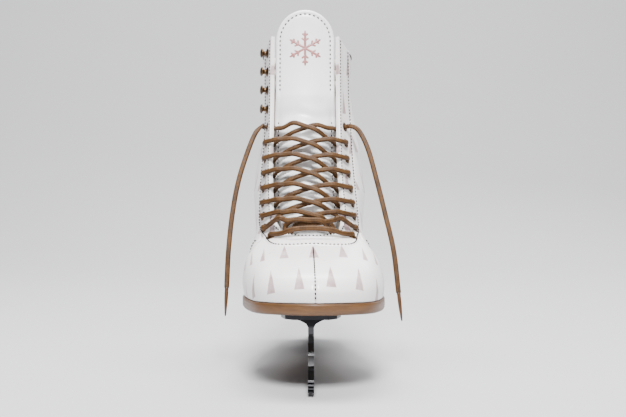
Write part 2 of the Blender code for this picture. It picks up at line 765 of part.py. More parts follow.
def build_tongue_lower():
    rows, columns = 15, 9
    points = []
    low = 92.0
    for layer in (0, 1):
        for up in steps(0, 1, rows):
            for side in steps(-1, 1, columns):
                half = 12.5 + 7.5 * min(1.0, up * 3.5)
                across = side * half
                height = low + (HINGE_Z - KNUCKLE - KNUCKLE_GAP - low) * up
                depth = lower_depth(across, height) + layer * (TONGUE_THICK - 1.0)
                point = tongue_point(across, height, depth)
                if up == 1:
                    away = min(abs(point[1] - (TOE_Y + HINGE_BACK)), 5.0)
                    point[2] = HINGE_Z - math.sqrt((KNUCKLE + KNUCKLE_GAP) ** 2 - away ** 2)
                points.append(point)
    return solid("tongue_lower", points, shell_faces(rows, columns), "white_leather")


def tongue_half(height):
    """Half width of the upper tongue: straight sides and a round top."""
    over = max(0.0, (height - (TONGUE_TOP - TONGUE_DOME)) / TONGUE_DOME)
    return TONGUE_HALF * math.sqrt(max(1.0 - over ** 2, 0.0))


def build_tongue_upper(hinge):
    columns = 9
    heights = [HINGE_Z - 5, HINGE_Z + 4] + steps(HINGE_Z + 20, TONGUE_TOP - TONGUE_DOME, 4)
    heights += [TONGUE_TOP - TONGUE_DOME + TONGUE_DOME * math.sin(math.radians(angle))
                for angle in (22, 42, 60, 73, 83)]
    points = []
    for layer in (0, 1):
        for level, height in enumerate(heights):
            for side in steps(-1, 1, columns):
                point = tongue_point(side * tongue_half(height), height, 0.5 + layer * TONGUE_THICK)
                if level == 0:
                    away = min(abs(point[1] - (TOE_Y + HINGE_BACK)), 5.0)
                    point[2] = HINGE_Z - math.sqrt(KNUCKLE ** 2 - away ** 2)
                points.append(point)
    return solid("tongue_upper", points, shell_faces(len(heights), columns), "white_leather", hinge)


# ---- laces ----
def facing_spot(side, pair, rise, inward=0.0):
    """A point over or under an eyelet pair's facing; inward moves it towards the opening."""
    half, height = EYELETS[pair]
    place = on_side(side, place_of(half - inward, height))
    return offset(place, height, rise)


def over_tongue(across, height, lift):
    return tongue_point(across, height, -lift)


def opening_half(height):
    """Half width of the lacing opening at a height above its lower edge."""
    return float(np.interp(height, [row[1] for row in THROAT], [row[0] for row in THROAT]))


def free_point(side, across, behind, height):
    return np.array([side * across, TOE_Y + behind, height])


def under_facing(side, pair):
    """From inside an eyelet to the gap between the facing's edge and the tongue."""
    inside = facing_spot(side, pair, -FACING - 2.8)
    if pair == 0:
        return [inside, free_point(side, 21.5, 90.6, 99.0), free_point(side, 16.0, 90.2, 104.4),
                free_point(side, 12.5, 87.6, 108.9)]
    height = EYELETS[pair][1] + 1.0
    edge = opening_half(height)
    deeper = max(0.0, (27.4 - edge) * 0.5)
    return [inside, over_tongue(side * (edge - 3.3), height - 0.6, -3.8 - deeper),
            over_tongue(side * (edge - 5.4), height + 0.4 + deeper, -0.8 - deeper),
            over_tongue(side * (edge - 10), height + 2.2 + deeper, 0.6)]


def lace_strand(side, pair):
    """From under a facing at one pair, over the tongue, and towards the next pair opposite."""
    low = max(EYELETS[pair][1] + 1.2, 108.8)
    gap = EYELETS[pair + 1][1] + 1.2 - low
    middle = 5.6 if side > 0 else 2.4
    return under_facing(side, pair) + [over_tongue(side * 9, low + 0.42 * gap, middle - 0.6),
                                       over_tongue(0, low + 0.58 * gap, middle),
                                       over_tongue(-side * 9, low + 0.74 * gap, middle + 0.4)]


def into_eyelet(side, pair):
    """Over the facing's edge and down through an eyelet."""
    return [facing_spot(side, pair, 2.9, 3.2), facing_spot(side, pair, 3.0, 1.1),
            facing_spot(side, pair, 1.3), facing_spot(side, pair, -1.5)]


def arrive_outside(side, pair):
    height = EYELETS[pair][1]
    higher = 1.4 * max(0.0, 27.4 - opening_half(height))
    return [over_tongue(side * 17.5, height - 0.8, 4.9 + 0.5 * higher),
            over_tongue(side * 23, height, 5.2 + higher)] + into_eyelet(side, pair)


def arrive_inside(side, pair):
    height = EYELETS[pair][1]
    return [over_tongue(side * 17.5, height - 2.4, 2.4), over_tongue(side * 22.2, height - 1.2, -0.8),
            over_tongue(side * 24.2, height - 0.5, -3.8), facing_spot(side, pair, -FACING - 2.8),
            facing_spot(side, pair, -1.0), facing_spot(side, pair, 2.4)]


def lace_route(side):
    """Half the lace: from the middle of the bottom bar to its exit at the top pair."""
    route = [free_point(side, 0, 74.5, 108.8), free_point(side, 13, 75.5, 107.8),
             facing_spot(side, 0, 3.8, 9.0)] + into_eyelet(side, 0)
    here = side
    last = len(EYELETS) - 1
    for pair in range(last):
        route += lace_strand(here, pair)
        here = -here
        route += arrive_inside(here, pair + 1) if pair + 1 == last else arrive_outside(here, pair + 1)
    return route, here


def rounded(route, longest=8.5):
    """The route's own points, with more between them where they lie far apart."""
    rows = np.array(route, float)
    points = []
    for index in range(len(rows) - 1):
        count = int(np.linalg.norm(rows[index + 1] - rows[index]) // longest) + 1
        points += [spline(rows, index + part / count) for part in range(count)]
    return np.array(points + [rows[-1]])


def resampled(route, spacing):
    """Points at an even spacing along a smooth curve through the route."""
    rows = np.array(route, float)
    fine = np.array([spline(rows, at) for at in np.linspace(0, len(rows) - 1, 40 * len(rows))])
    lengths = np.concatenate([[0], np.cumsum(np.linalg.norm(np.diff(fine, axis=0), axis=1))])
    count = max(2, int(round(lengths[-1] / spacing)) + 1)
    places = np.linspace(0, lengths[-1], count)
    return np.stack([np.interp(places, lengths, fine[:, axis]) for axis in range(3)], axis=1)


def tube(name, points, radius, finish, roundness=2):
    data = bpy.data.curves.new(name, "CURVE")
    data.dimensions = "3D"
    data.bevel_depth = radius * MM
    data.bevel_resolution = roundness
    data.use_fill_caps = True
    line = data.splines.new("POLY")
    line.points.add(len(points) - 1)
    for index, point in enumerate(points):
        line.points[index].co = (*(np.array(point) * MM), 1.0)
    return add_object(name, data, finish)


# Free ends of the lace: sideways from the blade's plane, distance behind the toe, height.
LEFT_END = ((-39.5, 146, 190), (-45, 141, 183), (-51.5, 134, 165), (-57.5, 127, 143), (-61.5, 121, 118),
            (-64, 116, 90), (-65, 112, 62))
RIGHT_END = ((31, 146, 190), (38, 141, 186), (45, 133, 171), (51.5, 126, 146), (58, 120, 118),
             (64, 115, 90), (67.5, 112, 58))
AGLET_LENGTH = 22.0


def build_laces():
    left, end_left = lace_route(-1)
    right, _ = lace_route(1)
    whole = left[::-1] + right[1:]
    tube("lace", rounded(whole), LACE_DIAMETER / 2, "brown_lace", 1)
    exits = {end_left: left[-1], -end_left: right[-1]}
    for side, word, route in ((-1, "left", LEFT_END), (1, "right", RIGHT_END)):
        start = exits[side]
        direction = outward(on_side(side, place_of(*EYELETS[-1])), EYELETS[-1][1])
        path = [start + direction * FIT_GAP, start + direction * 2.5]
        path += [np.array([x, TOE_Y + behind, height]) for x, behind, height in route]
        points = np.vstack([path[:1], resampled(path[1:], 5.6)])
        tube(f"lace_end_{word}", points, LACE_DIAMETER / 2, "brown_lace")
        heading = points[-1] - points[-2]
        heading = heading / np.linalg.norm(heading)
        tip = points[-1] + heading * FIT_GAP
        turned(f"aglet_{word}", ((0, 0), (0, 1.6), (0.6, 1.75), (6, 1.7), (AGLET_LENGTH - 1.5, 0.7),
                                 (AGLET_LENGTH, 0)), tip, heading, "brown_lace", 10)


def build_skate():
    clear_scene()
    hinge = bpy.data.objects.new("tongue_hinge", None)
    bpy.context.collection.objects.link(hinge)
    hinge.location = Vector((tongue_centre(HINGE_Z), TOE_Y + HINGE_BACK, HINGE_Z)) * MM
    bpy.context.view_layer.update()
    for side, word in ((-1, "left"), (1, "right")):
        build_vamp(side, f"vamp_{word}")
        build_quarter(side, f"quarter_{word}")
        build_facing(side, f"facing_{word}")
    build_back()
    build_toe_puff()
    outsole = build_sole()
    cap, block = build_heel()
    build_runner()
    build_stanchion("front_stanchion", 22, 82, 30, 96, FRONT_PLATE_TOP - PLATE_THICK - FIT_GAP, 11.0, 6.0)
    build_stanchion("rear_stanchion", 206, 262, 203, 254, HEEL_PLATE_TOP - PLATE_THICK - FIT_GAP, 10.0, 7.0)
    front = build_plate("sole_plate", FRONT_PLATE, FRONT_PLATE_TOP)
    back = build_plate("heel_plate", HEEL_PLATE, HEEL_PLATE_TOP)
    build_screws("sole", FRONT_SCREWS, front, FRONT_PLATE_TOP, 9.5, [outsole])
    build_screws("heel", HEEL_SCREWS, back, HEEL_PLATE_TOP, 22.0, [cap, block])
    build_eyelets()
    build_hooks()
    build_tongue_lower()
    build_tongue_upper(hinge)
    build_laces()


build_skate()
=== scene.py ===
"""The looks of a right figure skate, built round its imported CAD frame.

The toe points towards -Y, +X is the inner side of the foot and the ice is z = 0. The tables below
are millimetres, as in the CAD model; everything placed in the scene is in metres.
"""
import functools
import math
import bmesh
import bpy
import numpy as np
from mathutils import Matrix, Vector


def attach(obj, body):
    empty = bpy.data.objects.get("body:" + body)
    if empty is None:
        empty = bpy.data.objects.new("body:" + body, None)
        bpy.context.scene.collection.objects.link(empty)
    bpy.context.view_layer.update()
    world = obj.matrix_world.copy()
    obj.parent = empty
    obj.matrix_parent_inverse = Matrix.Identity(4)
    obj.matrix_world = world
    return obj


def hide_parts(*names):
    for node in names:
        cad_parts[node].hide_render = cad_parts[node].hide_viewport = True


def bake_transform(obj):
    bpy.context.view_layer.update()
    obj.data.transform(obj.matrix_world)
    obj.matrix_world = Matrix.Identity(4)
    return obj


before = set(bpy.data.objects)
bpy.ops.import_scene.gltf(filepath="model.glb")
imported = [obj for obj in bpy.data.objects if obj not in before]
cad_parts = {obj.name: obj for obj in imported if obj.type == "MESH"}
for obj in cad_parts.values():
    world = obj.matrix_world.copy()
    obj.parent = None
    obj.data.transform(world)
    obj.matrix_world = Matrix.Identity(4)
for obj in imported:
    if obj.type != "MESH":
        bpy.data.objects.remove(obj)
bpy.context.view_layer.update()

MM = 0.001
TOE_Y = -135.0
LEATHER = 2.2               # thickness of the outer leather
FACING = 3.0                # and of the doubled leather round the lacing
LAYER_GAP = 1.1             # between the outer leather and the lining
LACE_WIDE = 4.0
LACE_THICK = 2.6
TONGUE_HALF = 24.0
TONGUE_TOP = 285.5
TONGUE_DOME = 25.0          # height of its rounded top
HALF_TURN = 8               # places round one side of a section
SIDES = ((-1, "left"), (1, "right"))
BENDS = "bends"
HINGE_Y = TOE_Y + 149.0
WIDENING = (198.0, 216.0)   # the tongue widens from lower to upper between these heights

# ---------------------------------------------------------------- camera and stage
CAMERA_AWAY = 0.558         # from the toe tip
CAMERA_HIGH = 0.123
CAMERA_TURN = math.radians(-0.13)
LENS = 50.0


def build_camera():
    data = bpy.data.cameras.new("camera")
    data.lens = LENS
    data.sensor_width = 36.0
    data.clip_start = 0.01
    camera = bpy.data.objects.new("camera", data)
    bpy.context.collection.objects.link(camera)
    camera.location = (0.0, TOE_Y * MM - CAMERA_AWAY, CAMERA_HIGH)
    camera.rotation_euler = (math.radians(90), 0.0, CAMERA_TURN)
    bpy.context.scene.camera = camera


# ---------------------------------------------------------------- the boot's surface, as in the CAD
# SECTIONS: height, then (distance behind the toe, half width) from the front to the back.
# LEAN: height, then how far the front, the side and the back lean towards the inner side.
# The edges and EYELETS are (half width, height) pairs; COLLAR is (place, height).
SECTIONS = (
    (60, ((1.5, 0), (9, 24), (28, 41), (70, 50), (112, 45), (155, 34.5), (212, 32), (251, 24), (266, 0))),
    (70, ((0.5, 0), (8, 24), (27, 41.5), (70, 51), (112, 46), (155, 36), (212, 34), (253, 25), (268, 0))),
    (80, ((9, 0), (15, 22), (31, 38.5), (70, 49.5), (112, 46), (155, 37.5), (212, 35.5), (254, 25), (269, 0))),
    (88, ((28, 0), (32, 19), (43, 34), (75, 46.5), (114, 45), (155, 39), (212, 36.5), (255, 26), (270, 0))),
    (94, ((51, 0), (54, 16), (62, 30), (86, 43), (118, 44), (156, 40), (212, 37.5), (255, 26), (270, 0))),
    (99, ((69, 0), (71, 13), (77, 26.5), (96, 40), (122, 43), (158, 41), (212, 38.5), (255, 26), (270, 0))),
    (104, ((80, 0), (82, 11), (87, 23), (102, 36.5), (127, 42), (160, 42), (212, 39), (254, 26), (269, 0))),
    (116, ((84, 0), (88, 14), (97, 26.5), (110, 35), (134, 42), (163, 44), (211, 41), (253, 27), (268, 0))),
    (137, ((94, 0), (100, 16), (111, 27), (122, 33.5), (144, 42), (170, 46), (209, 43), (249, 27), (264, 0))),
    (161, ((108, 0), (115, 16), (126, 27), (137, 32.5), (156, 40), (178, 44), (209, 41), (245, 25), (259, 0))),
    (189, ((122, 0), (129, 16), (139, 27), (149, 31.5), (165, 37), (184, 39.5), (210, 37), (241, 22), (253, 0))),
    (220, ((130, 0), (137, 16), (147, 27), (157, 31), (170, 35), (187, 37), (211, 35), (237, 21), (248, 0))),
    (268, ((136, 0), (143, 16), (153, 27), (163, 31), (176, 35.5), (192, 38), (213, 36), (238, 22), (250, 0))),
)
LEAN = ((60, 3, -1.5, 0), (80, 2.5, -1.5, 0), (99, 1, -1.5, 0), (112, -1.8, -1.5, 0),
        (130, -3.4, -1.4, 0), (155, -4.7, -1.3, 0), (190, -4.8, -1.3, -0.5), (220, -4.8, -3, -1),
        (290, -4.8, -3.2, -1))
SOLE_TOP = ((0, 61.5), (30, 60.2), (70, 60), (105, 60), (150, 67), (185, 81), (215, 94), (240, 100),
            (270, 101.5))
SOLE_THICK = ((0, 7.5), (110, 7.5), (185, 5.5), (270, 5.5))
THROAT = ((0, 103.4), (12, 103.8), (20, 106), (25, 111), (27.2, 119), (27.5, 137), (27.5, 161),
          (27.5, 189), (27.5, 220), (27.5, 264))
FACING_EDGE = ((0, 97), (18, 96.2), (31, 96.8), (36.5, 102), (38.5, 112), (38.5, 127), (37.5, 150),
               (36, 176), (34.6, 210), (34.6, 256))
COLLAR = ((0, 256), (3.9, 256), (5, 254.5), (6.5, 258), (8, 262))
TONGUE_LINE = ((88, 56), (98, 75), (106, 87), (116, 95), (137, 108.5), (161, 123.5), (189, 136.5),
               (220, 145), (265, 150.5), (286, 151))
EYELETS = ((30.5, 101.5), (34.3, 108), (34.5, 117), (34.2, 127), (33.6, 138.5), (32.6, 150.5),
           (32.2, 162.5), (31.6, 175.5), (31, 189))
HOOKS = ((30.8, 204), (30.8, 220), (30.8, 235.5), (30.8, 251))
SEAM_PART = 0.33            # where the vamp's side seam meets the facing's outer edge
SEAM_FOOT_BEHIND = 120.0    # where it meets the sole
SEAM_FOOT = 60.6            # and how high
LOWEST = SECTIONS[0][0]

HEIGHTS = np.array([row[0] for row in SECTIONS], float)
RINGS = np.array([row[1] for row in SECTIONS], float)


def hermite(places, rows, at):
    """Cubic values between rows at uneven places, with the neighbours' slopes; at is an array."""
    places, rows = np.asarray(places, float), np.asarray(rows, float)
    at = np.clip(np.asarray(at, float), places[0], places[-1])
    low = np.clip(np.searchsorted(places, at, side="right") - 1, 0, len(places) - 2)
    index = np.arange(len(places))
    after, before = np.minimum(index + 1, len(places) - 1), np.maximum(index - 1, 0)
    extra = (1,) * (rows.ndim - 1)
    slope = (rows[after] - rows[before]) / (places[after] - places[before]).reshape(-1, *extra)
    width = (places[low + 1] - places[low]).reshape(-1, *extra)
    part = ((at - places[low]) / (places[low + 1] - places[low])).reshape(-1, *extra)
    return (rows[low] * (1 + 2 * part) * (1 - part) ** 2 + rows[low + 1] * part ** 2 * (3 - 2 * part)
            + width * part * (1 - part) * (slope[low] * (1 - part) - slope[low + 1] * part))


def through(before, here, there, after, part):
    """A smooth curve from here to there that also takes in the points before and after."""
    return 0.5 * (2 * here + (there - before) * part
                  + (2 * before - 5 * here + 4 * there - after) * part ** 2
                  + (3 * here - before - 3 * there + after) * part ** 3)


def arrays(*values):
    return [np.atleast_1d(np.asarray(value, float)) for value in values]


def unit(vectors):
    return vectors / np.linalg.norm(vectors, axis=1)[:, None]


def ramp(value, start, width):
    """Rises from 0 at start to 1 over a width."""
    return np.clip((value - start) / width, 0, 1)


def eased(value, start, width):
    part = ramp(value, start, width)
    return part ** 2 * (3 - 2 * part)


def folded(place):
    """The place on the +X side that mirrors one on either side."""
    return np.minimum(place, 2 * HALF_TURN - place)


def run(points):
    """The length along a line up to each of its points."""
    return np.concatenate([[0], np.cumsum(np.linalg.norm(np.diff(points, axis=0), axis=1))])


def along_line(at, lengths, points):
    return np.stack([np.interp(at, lengths, points[:, axis]) for axis in range(3)], axis=1)


def table(pairs, at):
    """A smooth value, or an array of them, from (place, value) pairs."""
    array = np.array(pairs, float)
    values = hermite(array[:, 0], array[:, 1], np.atleast_1d(at))
    return values if np.ndim(at) else float(values[0])


def section_points(place, height):
    """Distances behind the toe and half widths, for arrays of places and heights."""
    rings = hermite(HEIGHTS, RINGS, height)
    flip = np.array([1.0, -1.0])
    rows = np.concatenate([rings[:, 1:2] * flip, rings, rings[:, -2:-1] * flip], axis=1)
    at = np.clip(place, 0, HALF_TURN) + 1
    low = np.clip(np.floor(at).astype(int), 1, HALF_TURN)
    part = (at - low)[:, None]
    each = np.arange(len(at))
    return through(*(rows[each, low + step] for step in (-1, 0, 1, 2)), part)


def lean(place, height):
    front, side, back = (table([(row[0], row[column]) for row in LEAN], height) for column in (1, 2, 3))
    return front + (side - front) * eased(place, 2.2, 2.3) + (back - side) * eased(place, 5.0, 3.0)


def surface(place, height):
    """Points of the outer surface; place runs 0 to 8 round the +X side and on to 16 round -X."""
    place, height = arrays(place, height)
    place = np.mod(place, 2 * HALF_TURN)
    side, near = np.where(place > HALF_TURN, -1.0, 1.0), folded(place)
    found = section_points(near, height)
    return np.stack([lean(near, height) + side * found[:, 1], TOE_Y + found[:, 0], height], axis=1)


def outward(place, height):
    place, height = arrays(place, height)
    along = surface(place + 0.02, height) - surface(place - 0.02, height)
    up = surface(place, height + 0.5) - surface(place, height - 0.5)
    return unit(np.cross(along, up))


def offset(place, height, rise):
    rise = np.atleast_1d(rise)[:, None]
    return surface(place, height) + rise * outward(place, height)


def bisect(test, low, high):
    """The place between low and high where test turns from true to false."""
    for _ in range(30):
        middle = (low + high) / 2
        if test(middle):
            low = middle
        else:
            high = middle
    return (low + high) / 2


def at_place(place, height):
    return section_points(np.array([place]), np.array([float(height)]))[0]


@functools.lru_cache(maxsize=None)
def place_where(column, value, height, low, high):
    """The place at which a section's distance behind the toe, or its half width, has a value."""
    places = np.linspace(low, high, 600)
    values = section_points(places, np.full(len(places), float(height)))[:, column]
    return float(np.interp(value, np.maximum.accumulate(values), places))


def place_of(half, height):
    return place_where(1, half, height, 0.0, 5.0)


def place_behind(behind, height):
    return place_where(0, behind, height, 1.0, 7.5)


def even_spline(rows, at):
    """A smooth curve through evenly numbered rows."""
    low = min(max(int(math.floor(at)), 0), len(rows) - 2)
    part = at - low
    before = rows[low - 1] if low else 2 * rows[0] - rows[1]
    after = rows[low + 2] if low + 2 < len(rows) else 2 * rows[-1] - rows[-2]
    return through(before, rows[low], rows[low + 1], after, part)


def edge_curve(pairs, part):
    """Place and height on a curve of (half width, height) pairs, part from 0 to 1."""
    half, height = even_spline(np.array(pairs, float), part * (len(pairs) - 1))
    return place_of(half, height), float(height)


@functools.lru_cache(maxsize=None)
def feather(place):
    """Height of the sole's upper face under a place of the outline."""
    height = 80.0
    for _ in range(8):
        height = table(SOLE_TOP, at_place(folded(place), height)[0])
    return height


def on_side(side, place):
    return place if side > 0 else 2 * HALF_TURN - place


def steps(start, end, count):
    return np.linspace(start, end, count)


def soft_steps(start, end, count, edge=0.012):
    """Even steps with two close ones at each end, where a panel's edge is rounded."""
    inner = np.linspace(edge * 2.2, 1 - edge * 2.2, count)
    parts = np.concatenate([[0, edge * 0.4, edge], inner, [1 - edge, 1 - edge * 0.4, 1]])
    return start + (end - start) * parts


# ---------------------------------------------------------------- meshes
def add_mesh(name, points, faces, look=None, uvs=None, body="boot", slot="white_leather", sharp=None,
             replaced=()):
    """A mesh object from points in millimetres; uvs is one pair per point, in millimetres.

    It rides on one body; with BENDS or None it belongs to no body."""
    mesh = bpy.data.meshes.new(name)
    mesh.from_pydata([tuple(np.asarray(point) * MM) for point in points], [], faces)
    if uvs is not None:
        layer = mesh.uv_layers.new(name="print")
        for loop in mesh.loops:
            layer.data[loop.index].uv = tuple(uvs[loop.vertex_index])
    build = bmesh.new()
    build.from_mesh(mesh)
    bmesh.ops.remove_doubles(build, verts=build.verts, dist=0.005 * MM)
    bmesh.ops.recalc_face_normals(build, faces=build.faces)
    build.to_mesh(mesh)
    build.free()
    mesh.shade_smooth()
    if sharp:
        mesh.set_sharp_from_angle(angle=math.radians(sharp))
    made = bpy.data.objects.new(name, mesh)
    bpy.context.collection.objects.link(made)
    if look:
        made.data.materials.append(look)
    if body == BENDS:
        hinge = [(0, HINGE_Y * MM, height * MM) for height in WIDENING]
        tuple(hinge[0])
        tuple(hinge[1])
        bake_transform(made)
    elif body:
        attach(made, body)
    if replaced:
        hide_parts(*replaced)
    return made


def join(parts):
    """One list of points and faces from several."""
    points, faces, start = [], [], 0
    for part_points, part_faces in parts:
        points.append(part_points)
        faces += [[start + index for index in face] for face in part_faces]
        start += len(part_points)
    return np.vstack(points), faces


def shell_faces(rows, columns):
    """Faces of a closed shell: an outer grid of points, then the inner one."""
    def at(layer, row, column):
        return (layer * rows + row) * columns + column
    faces = []
    for row in range(rows - 1):
        for column in range(columns - 1):
            quad = ((row, column), (row, column + 1), (row + 1, column + 1), (row + 1, column))
            faces.append([at(0, *corner) for corner in quad])
            faces.append([at(1, *corner) for corner in reversed(quad)])
    rim = [(0, c) for c in range(columns)] + [(r, columns - 1) for r in range(1, rows)]
    rim += [(rows - 1, c) for c in range(columns - 2, -1, -1)] + [(r, 0) for r in range(rows - 2, 0, -1)]
    for first, second in zip(rim, rim[1:] + rim[:1]):
        faces.append([at(0, *second), at(0, *first), at(1, *first), at(1, *second)])
    return faces


def loft_faces(rows, ring, wraps=True, caps=True):
    """Faces between rings of points; a ring closes on itself, or its last point repeats the first."""
    sides = ring if wraps else ring - 1
    faces = [[row * ring + index, row * ring + (index + 1) % ring,
              (row + 1) * ring + (index + 1) % ring, (row + 1) * ring + index]
             for row in range(rows - 1) for index in range(sides)]
    if caps:
        faces += [list(range(sides))[::-1], [(rows - 1) * ring + index for index in range(sides)]]
    return faces


ARC_STEP = 6.0
ARC_HEIGHTS = np.arange(58.0, 271.0, ARC_STEP)
ARC_PLACES = np.linspace(0, HALF_TURN, 65)


def arc_lengths():
    """Distance round each section from the front centre line, for the print and the stitches."""
    rows = []
    for height in ARC_HEIGHTS:
        points = section_points(ARC_PLACES, np.full(len(ARC_PLACES), height))
        rows.append(run(points))
    return np.array(rows)


ARCS = arc_lengths()
PRINT_ACROSS = 21.0         # spacing of the printed triangles round the boot
PRINT_UP = 32.0             # and from row to row
PRINT_FOOT = 70.0           # height of the first row
TRIANGLE_TOP = 0.62         # a triangle's height, as a part of its row
TRIANGLE_SLOPE = 0.27       # its half width below the top, as a part of the spacing
HEEL_LIFT = 0.0046          # thickness of one leather layer of the heel, in metres
DARK_ABOVE = 0.0425         # the bracket under the sole is black above this height, in metres
PICK_TOP = 0.0115           # the toe pick is painted near-black below this one, a painted dark reflection
PICK_BACK = -0.117
LACE_WEAVE = 1.15           # length of one crossing of the lace's threads
BACK_AT = 10.5 * PRINT_ACROSS


def print_uv(place, height, from_back=False):
    """Where a point lies on the printed leather: round the boot and up it, in millimetres.

    The print is laid out from the front centre line on the vamp, and from the back one behind it."""
    place = np.mod(place, 2 * HALF_TURN)
    side, near = np.where(place > HALF_TURN, -1.0, 1.0), folded(place)
    row = np.clip((height - ARC_HEIGHTS[0]) / ARC_STEP, 0, len(ARC_HEIGHTS) - 1.001)
    column = np.clip(near / HALF_TURN * (len(ARC_PLACES) - 1), 0, len(ARC_PLACES) - 1.001)
    r, c = row.astype(int), column.astype(int)
    a, b = row - r, column - c
    round_it = ((ARCS[r, c] * (1 - b) + ARCS[r, c + 1] * b) * (1 - a)
                + (ARCS[r + 1, c] * (1 - b) + ARCS[r + 1, c + 1] * b) * a)
    if from_back:
        total = ARCS[r, -1] * (1 - a) + ARCS[r + 1, -1] * a
        return np.stack([side * (BACK_AT + round_it - total), height], axis=1)
    behind = section_points(near, height)[:, 0]
    return np.stack([side * round_it, height + 0.4 * np.minimum(behind, 80.0)], axis=1)


def edge_drop(rows, columns, depth):
    """How far the outer face sinks towards the panel's rounded rim, for soft_steps rows."""
    fall = np.array([1.0, 0.42, 0.1] + [0.0] * 200)

    def along(count):
        index = np.arange(count)
        return fall[np.minimum(index, count - 1 - index)]
    return depth * np.maximum(along(rows)[:, None], along(columns)[None, :])


def panel(name, grid, outer, inner, look, replaced, slot="white_leather", rim=0.45, from_back=False):
    """A leather panel over a grid of (place, height) rows, with rounded edges."""
    array = np.array(grid, float)
    rows, columns = array.shape[:2]
    place, height = array.reshape(-1, 2).T
    top, low = (rise(place, height) if callable(rise) else np.full(len(place), rise)
                for rise in (outer, inner))
    top = top - edge_drop(rows, columns, rim).reshape(-1)
    points = np.vstack([offset(place, height, top), offset(place, height, low)])
    uvs = np.vstack([print_uv(place, height, from_back)] * 2)
    return add_mesh(name, points, shell_faces(rows, columns), look, uvs, slot=slot, sharp=50,
                    replaced=replaced)


# ---------------------------------------------------------------- materials
class Look:
    """A Principled material; its methods add nodes and hand back their output sockets."""

    def __init__(self, name, colour, roughness, metallic=0.0, **sockets):
        self.made = bpy.data.materials.new(name)
        self.made.use_nodes = True
        self.shader = self.made.node_tree.nodes["Principled BSDF"]
        self.fill(self.shader, Base_Color=colour, Roughness=roughness, Metallic=metallic, **sockets)

    def feed(self, socket, value):
        """Links a socket to another one, or sets its constant value."""
        if isinstance(value, bpy.types.NodeSocket):
            self.made.node_tree.links.new(value, socket)
        else:
            socket.default_value = (*value, 1.0) if socket.type == "RGBA" else value

    def fill(self, made, **values):
        """Sets a node's settings, and its sockets by name with _ for a space."""
        for key, value in values.items():
            if hasattr(made, key):
                setattr(made, key, value)
            else:
                self.feed(made.inputs[key.replace("_", " ")], value)

    def node(self, kind, *sockets, **values):
        """A new node, with its first sockets fed in order."""
        made = self.made.node_tree.nodes.new("ShaderNode" + kind)
        self.fill(made, **values)
        for socket, value in zip(made.inputs, sockets):
            self.feed(socket, value)
        return made

    def calculate(self, operation, *values):
        return self.node("Math", *values, operation=operation).outputs[0]

    times = functools.partialmethod(calculate, "MULTIPLY")
    over = functools.partialmethod(calculate, "DIVIDE")
    plus = functools.partialmethod(calculate, "ADD")
    minus = functools.partialmethod(calculate, "SUBTRACT")
    size = functools.partialmethod(calculate, "ABSOLUTE")
    floor = functools.partialmethod(calculate, "FLOOR")
    fraction = functools.partialmethod(calculate, "FRACT")

    def spot(self, stretch=(1, 1, 1)):
        """Object coordinates, which are metres in the shared frame, scaled along each axis."""
        return self.node("Mapping", self.node("TexCoord").outputs["Object"], Scale=stretch).outputs[0]

    def axes(self, vector):
        return list(self.node("SeparateXYZ", vector).outputs)

    def print_axes(self):
        """The piece's own flat coordinates, in millimetres."""
        return self.axes(self.node("UVMap", uv_map="print").outputs["UV"])

    def noise(self, scale, detail=4.0, rough=0.55, stretch=(1, 1, 1)):
        return self.node("TexNoise", self.spot(stretch), Scale=scale, Detail=detail,
                         Roughness=rough).outputs["Fac"]

    def mix(self, factor, first, second):
        made = self.node("Mix", factor, data_type="RGBA")
        self.feed(made.inputs[6], first)
        self.feed(made.inputs[7], second)
        return made.outputs[2]

    def spread(self, value, low, high, to_low=0.0, to_high=1.0):
        return self.node("MapRange", value, low, high, to_low, to_high).outputs[0]

    def colour(self, factor, first, second):
        self.fill(self.shader, Base_Color=self.mix(factor, first, second))

    def rough(self, value, low, high, to_low, to_high):
        self.fill(self.shader, Roughness=self.spread(value, low, high, to_low, to_high))

    def bump(self, height, strength, distance):
        raised = self.node("Bump", Strength=strength, Distance=distance, Height=height)
        self.fill(self.shader, Normal=raised.outputs["Normal"])

    def grain(self, strength=0.25):
        """Leather: fine pebbling with soft, slightly uneven patches."""
        pebble = self.node("TexVoronoi", self.spot(), feature="SMOOTH_F1", Scale=1300.0)
        uneven = self.plus(self.times(self.noise(700.0, 3.0), 0.4), self.times(self.noise(60.0, 2.0), 1.2))
        self.bump(self.plus(self.times(pebble.outputs["Distance"], 0.7), uneven), strength, 0.00018)
        self.rough(self.noise(90.0), 0.3, 0.7, 0.27, 0.40)


def shade(colour, share):
    return tuple(share * value for value in colour)


WHITE = (0.84, 0.800, 0.782)
ROSE = (0.30, 0.165, 0.175)


